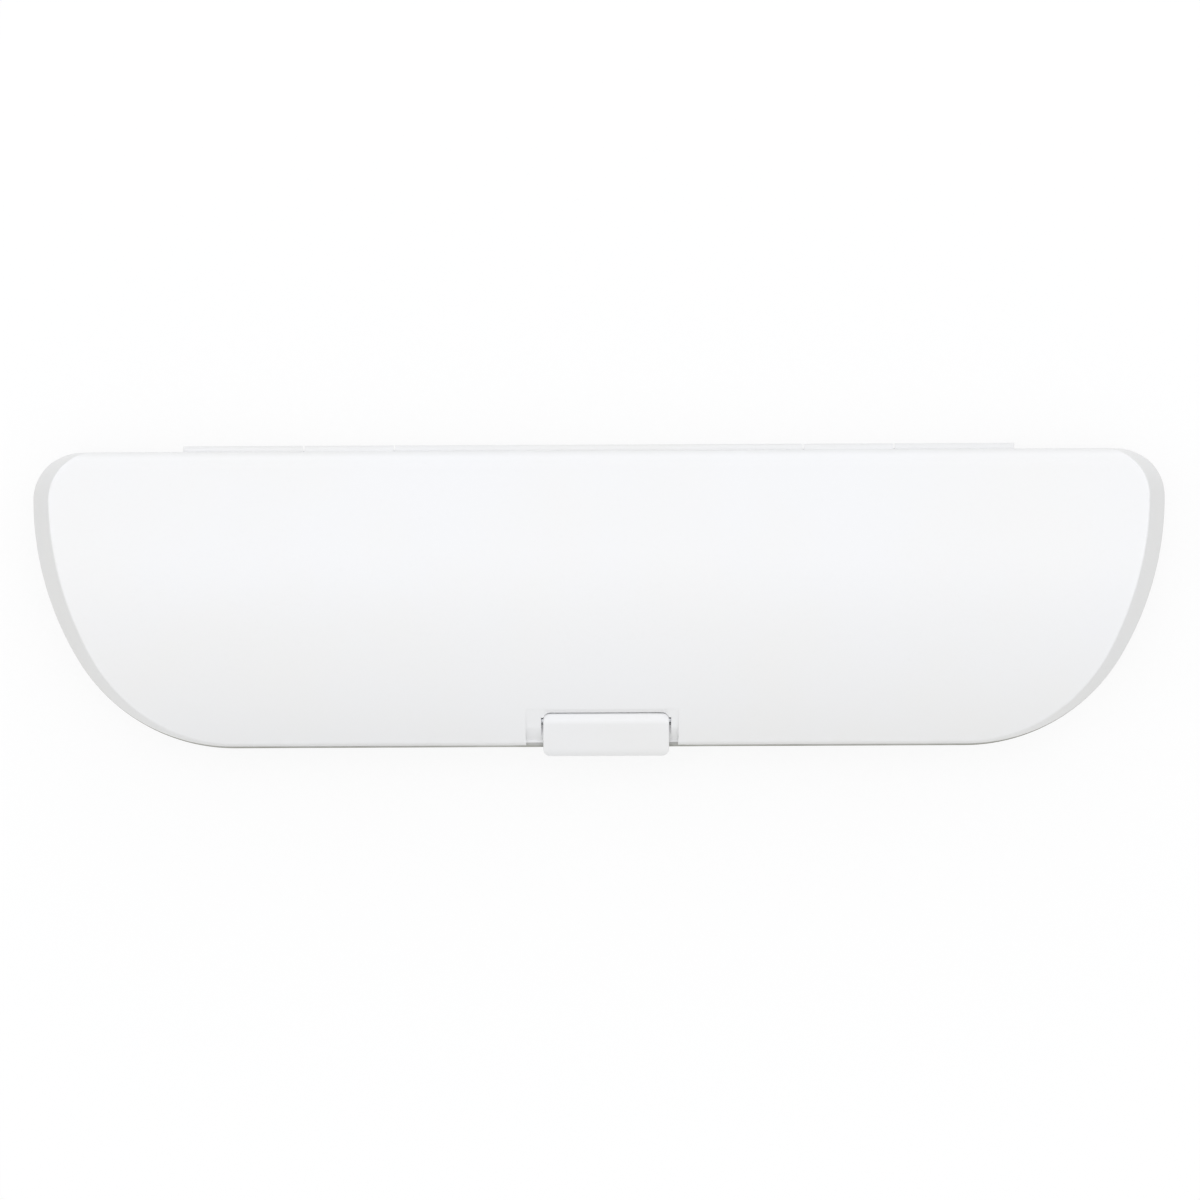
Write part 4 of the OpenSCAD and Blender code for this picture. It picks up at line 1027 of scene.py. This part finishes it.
def handling_effect():
    """Where hands have polished or smeared the surface, and where it got hairline scratches and specks."""
    inputs = {"Scratches": 0.5, "Specks": 0.5}
    tree, given, finish = effect("handling_marks", inputs, ["Smear", "Scratch", "Speck"])
    smear = band(tree, noise(tree, 38.0, 4.0, 0.6), 0.35, 0.75)
    lines = 0.0
    for turn, scale in ((0.5, 90.0), (-0.9, 70.0)):
        where = add(tree, "TexCoord").outputs["Object"]
        where = add(tree, "Mapping", {"Vector": where, "Rotation": (0.0, 0.0, turn), "Scale": (1.0, 14.0, 1.0)})
        cells = add(tree, "TexVoronoi", {"Vector": where.outputs[0], "Scale": scale, "Randomness": 1.0},
                    feature="DISTANCE_TO_EDGE")
        line = maths(tree, "SUBTRACT", 1.0, band(tree, cells.outputs["Distance"], 0.0, 0.03))
        lines = maths(tree, "ADD", line, lines)
    patch = band(tree, noise(tree, 60.0, 1.0, 0.5), 0.56, 0.66)
    scratch = times(tree, times(tree, lines, patch), given["Scratches"], clamp=True)
    where = add(tree, "TexCoord").outputs["Object"]
    spots = add(tree, "TexVoronoi", {"Vector": where, "Scale": 110.0, "Randomness": 1.0}, feature="F1").outputs
    dot = maths(tree, "SUBTRACT", 1.0, band(tree, spots["Distance"], 0.016, 0.03))
    pick = add(tree, "SeparateColor", {"Color": spots["Color"]}).outputs[0]
    dot = times(tree, dot, maths(tree, "GREATER_THAN", pick, 0.93))
    return finish(smear, scratch, times(tree, dot, given["Specks"], clamp=True))


def wear_and_shade_effect():
    """Edges rubbed smooth, broken up by noise, and painted shade along the parting line. The piece's own
    wear_and_shade attribute says where its edges are; it is negative where the shade is painted."""
    tree, given, finish = effect("edge_wear_and_rim_shade", {"Amount": 0.5}, ["Wear", "Rim Shade"])
    edge = add(tree, "Attribute", attribute_name="wear_and_shade").outputs["Fac"]
    rubbed = times(tree, edge, band(tree, noise(tree, 260.0, 3.0, 0.6), 0.38, 0.62))
    patchy = times(tree, noise(tree, 90.0, 3.0, 0.6), 0.6, 0.6)
    # The second output is the painted shade, made patchy by noise, where the attribute is below zero
    return finish(times(tree, rubbed, given["Amount"], clamp=True),
                  times(tree, times(tree, edge, -1.0), patchy, clamp=True))


def dust_effect():
    """Thin dust on what faces up, thicker where the noise is high."""
    tree, given, finish = effect("settled_dust", {"Amount": 0.3}, ["Dust"])
    up = add(tree, "SeparateXYZ", {0: add(tree, "TexCoord").outputs["Normal"]}).outputs["Z"]
    specks = band(tree, noise(tree, 900.0, 4.0, 0.7), 0.5, 0.8)
    return finish(times(tree, times(tree, band(tree, up, 0.55, 1.0), specks), given["Amount"], clamp=True))


def mix(tree, a, b, share):
    """Colour between a and b."""
    made = add(tree, "Mix", {"Factor": share}, data_type="RGBA")
    for socket, value in ((made.inputs["A"], a), (made.inputs["B"], b)):
        if isinstance(value, bpy.types.NodeSocket):
            tree.links.new(value, socket)
        else:
            socket.default_value = (*value, 1.0)
    return made.outputs["Result"]


def tint(colour, share):
    """A colour scaled towards black or beyond."""
    return tuple(min(c * share, 1.0) for c in colour)


def new_material(name):
    """A material, its nodes and the inputs of its Principled shader."""
    material = bpy.data.materials.new(name)
    material.use_nodes = True
    return material, material.node_tree, material.node_tree.nodes["Principled BSDF"].inputs


def moulded(name, colour, roughness, grain=(2400.0, 0.5, 0.5), bump=(0.12, 0.00012), marks=(0.5, 0.5), wear_and_shade=0.5,
            dust=0.2, cast=(1.0, 0.99, 0.965), ior=1.49):
    """A moulded plastic or rubber with grain, slow colour variation, hand marks, worn edges, painted rim shade and
    dust.
    """
    material, tree, shader = new_material(name)
    skin, hand, worn, dusty = [add(tree, "Group", dict(zip(labels, values)), node_tree=group).outputs
                               for group, labels, values in (
                                   (GRAIN, ("Grain Scale", "Grain", "Waviness"), grain),
                                   (HANDLING, ("Scratches", "Specks"), marks),
                                   (WEAR_AND_SHADE, ("Amount",), (wear_and_shade,)), (DUST, ("Amount",), (dust,)))]
    tone = times(tree, band(tree, noise(tree, 26.0, 3.0, 0.55), 0.3, 0.7), 0.6)
    paint = mix(tree, colour, tuple(c * k for c, k in zip(colour, cast)), tone)
    # worn holds the wear and the painted rim shade: worn edges a touch lighter, and the dark grey-green is painted
    # shade along the parting line
    for other, share in ((tint(colour, 1.03), worn["Wear"]), ((0.3, 0.3, 0.26), worn["Rim Shade"]),
                         (tint(colour, 0.9), hand["Scratch"]), (tint(colour, 0.35), hand["Speck"]),
                         ((0.76, 0.75, 0.73), times(tree, dusty["Dust"], 0.35))):
        paint = mix(tree, paint, other, share)
    tree.links.new(paint, shader["Base Color"])
    rough = times(tree, hand["Smear"], -0.06, roughness + 0.03)
    rough = times(tree, worn["Wear"], -0.1, rough)
    rough = times(tree, hand["Scratch"], 0.15, rough)
    tree.links.new(times(tree, dusty["Dust"], 0.2, rough, clamp=True), shader["Roughness"])
    height = times(tree, hand["Scratch"], -0.35, skin["Height"])
    relief = add(tree, "Bump", {"Height": height, "Strength": bump[0], "Distance": bump[1]})
    tree.links.new(relief.outputs[0], shader["Normal"])
    shader["IOR"].default_value = ior
    return material


def drawn_steel(name):
    """Drawn and cut steel bar: lengthwise die lines in the colour, roughness and relief."""
    material, tree, shader = new_material(name)
    lines = noise(tree, 900.0, 3.0, 0.6, (0.02, 1.0, 1.0))
    hand = add(tree, "Group", {"Scratches": 0.4, "Specks": 0.2}, node_tree=HANDLING).outputs
    tree.links.new(mix(tree, (0.6, 0.61, 0.63), (0.69, 0.7, 0.72), lines), shader["Base Color"])
    shader["Metallic"].default_value = 1.0
    tree.links.new(times(tree, hand["Smear"], 0.06, times(tree, lines, 0.16, 0.2)), shader["Roughness"])
    relief = add(tree, "Bump", {"Height": lines, "Strength": 0.2, "Distance": 0.00003})
    tree.links.new(relief.outputs[0], shader["Normal"])
    return material


# ---------------------------------------------------------------- studio

def studio():
    """Pale floor, an even sky and two soft lamps, overhead and behind, and the camera above the case."""
    scene, half = bpy.context.scene, FLOOR_SIDE / 2
    scene.world = bpy.data.worlds.new("studio")
    scene.world.use_nodes = True
    sky = scene.world.node_tree.nodes["Background"].inputs
    sky["Color"].default_value, sky["Strength"].default_value = (1.0, 1.0, 1.0, 1), 0.865

    floor_mesh = bpy.data.meshes.new("floor")
    floor_mesh.from_pydata([(-half, -half, 0), (half, -half, 0), (half, half, 0), (-half, half, 0)], [],
                           [(0, 1, 2, 3)])
    paint, tree, _ = new_material("floor_paint")
    tree.nodes.clear()
    rays = add(tree, "LightPath").outputs
    seen = maths(tree, "MAXIMUM", rays["Is Camera Ray"], rays["Is Glossy Ray"])
    seen = maths(tree, "MAXIMUM", seen, rays["Is Transmission Ray"])
    matt = add(tree, "BsdfDiffuse", {"Color": (0.57, 0.57, 0.55, 1)}).outputs[0]
    bright = add(tree, "BsdfDiffuse", {"Color": (1, 1, 1, 1)}).outputs[0]
    glow = add(tree, "Emission", {"Color": (1, 1, 1, 1), "Strength": 1.0}).outputs[0]
    soft = add(tree, "MixShader", {0: 0.8, 1: bright, 2: glow}).outputs[0]
    add(tree, "OutputMaterial", {0: add(tree, "MixShader", {0: seen, 1: matt, 2: soft}).outputs[0]})
    floor_mesh.materials.append(paint)
    placed("floor", floor_mesh)

    for name, size, energy, place, tilt in (("overhead", 1.2, 3.5, (0, 0.0, 1.6), 0),
                                            ("behind", 1.0, 2.6, (0, 1.35, 0.4), -73)):
        lamp = bpy.data.lights.new(name, "AREA")
        lamp.shape, lamp.size, lamp.energy, lamp.color = "DISK", size, energy, (0.97, 0.985, 1.05)
        placed(name, lamp, place, (tilt, 0, 0)).visible_camera = False

    camera = bpy.data.cameras.new("camera")
    camera.lens, camera.sensor_width = 1000.0, 36.0
    height = SEEN_WIDTH / camera.sensor_width * camera.lens
    camera.clip_end = height * 3
    scene.camera = placed("camera", camera, (0.0001, 0.00005, height + 0.03), (0, 0, -0.25))
    scene.view_settings.view_transform = "Standard"


# ---------------------------------------------------------------- the case

GRAIN, HANDLING, WEAR_AND_SHADE, DUST = grain_effect(), handling_effect(), wear_and_shade_effect(), dust_effect()
shell_white = moulded("shell_plastic", (0.9, 0.905, 0.915), 0.42, marks=(0.05, 0.5))
latch_white = moulded("latch_plastic", (0.915, 0.92, 0.93), 0.33, grain=(2800.0, 0.3, 0.5), marks=(0.05, 0.2),
                      wear_and_shade=0.7)
insert_white = moulded("insert_plastic", (0.845, 0.85, 0.855), 0.5, grain=(1700.0, 0.7, 0.6), bump=(0.16, 0.00014),
                       marks=(0.15, 0.3), wear_and_shade=0.3, dust=0.5)
soft_grey = moulded("soft_rubber", (0.56, 0.575, 0.59), 0.68, grain=(1300.0, 0.9, 0.4), bump=(0.25, 0.00018),
                    marks=(0.2, 0.3), wear_and_shade=0.35, dust=0.8, cast=(0.97, 0.98, 0.98), ior=1.45)
steel = drawn_steel("drawn_steel")
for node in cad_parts.values():
    node.data.materials.clear()
    node.data.materials.append(shell_white)
lid_shell(shell_white)
base_shell(shell_white)
latch(latch_white)
base_tray(insert_white)
lid_liner(insert_white)
for sign, where in ((-1, "left"), (1, "right")):
    saddle("handle_pad_" + where, sign * PAD_X, -1, "base", soft_grey)
    saddle("lid_pad_" + where, sign * PAD_X, 1, "lid", soft_grey)
    head_rest("head_rest_" + where, sign, soft_grey)
pins(steel)
studio()
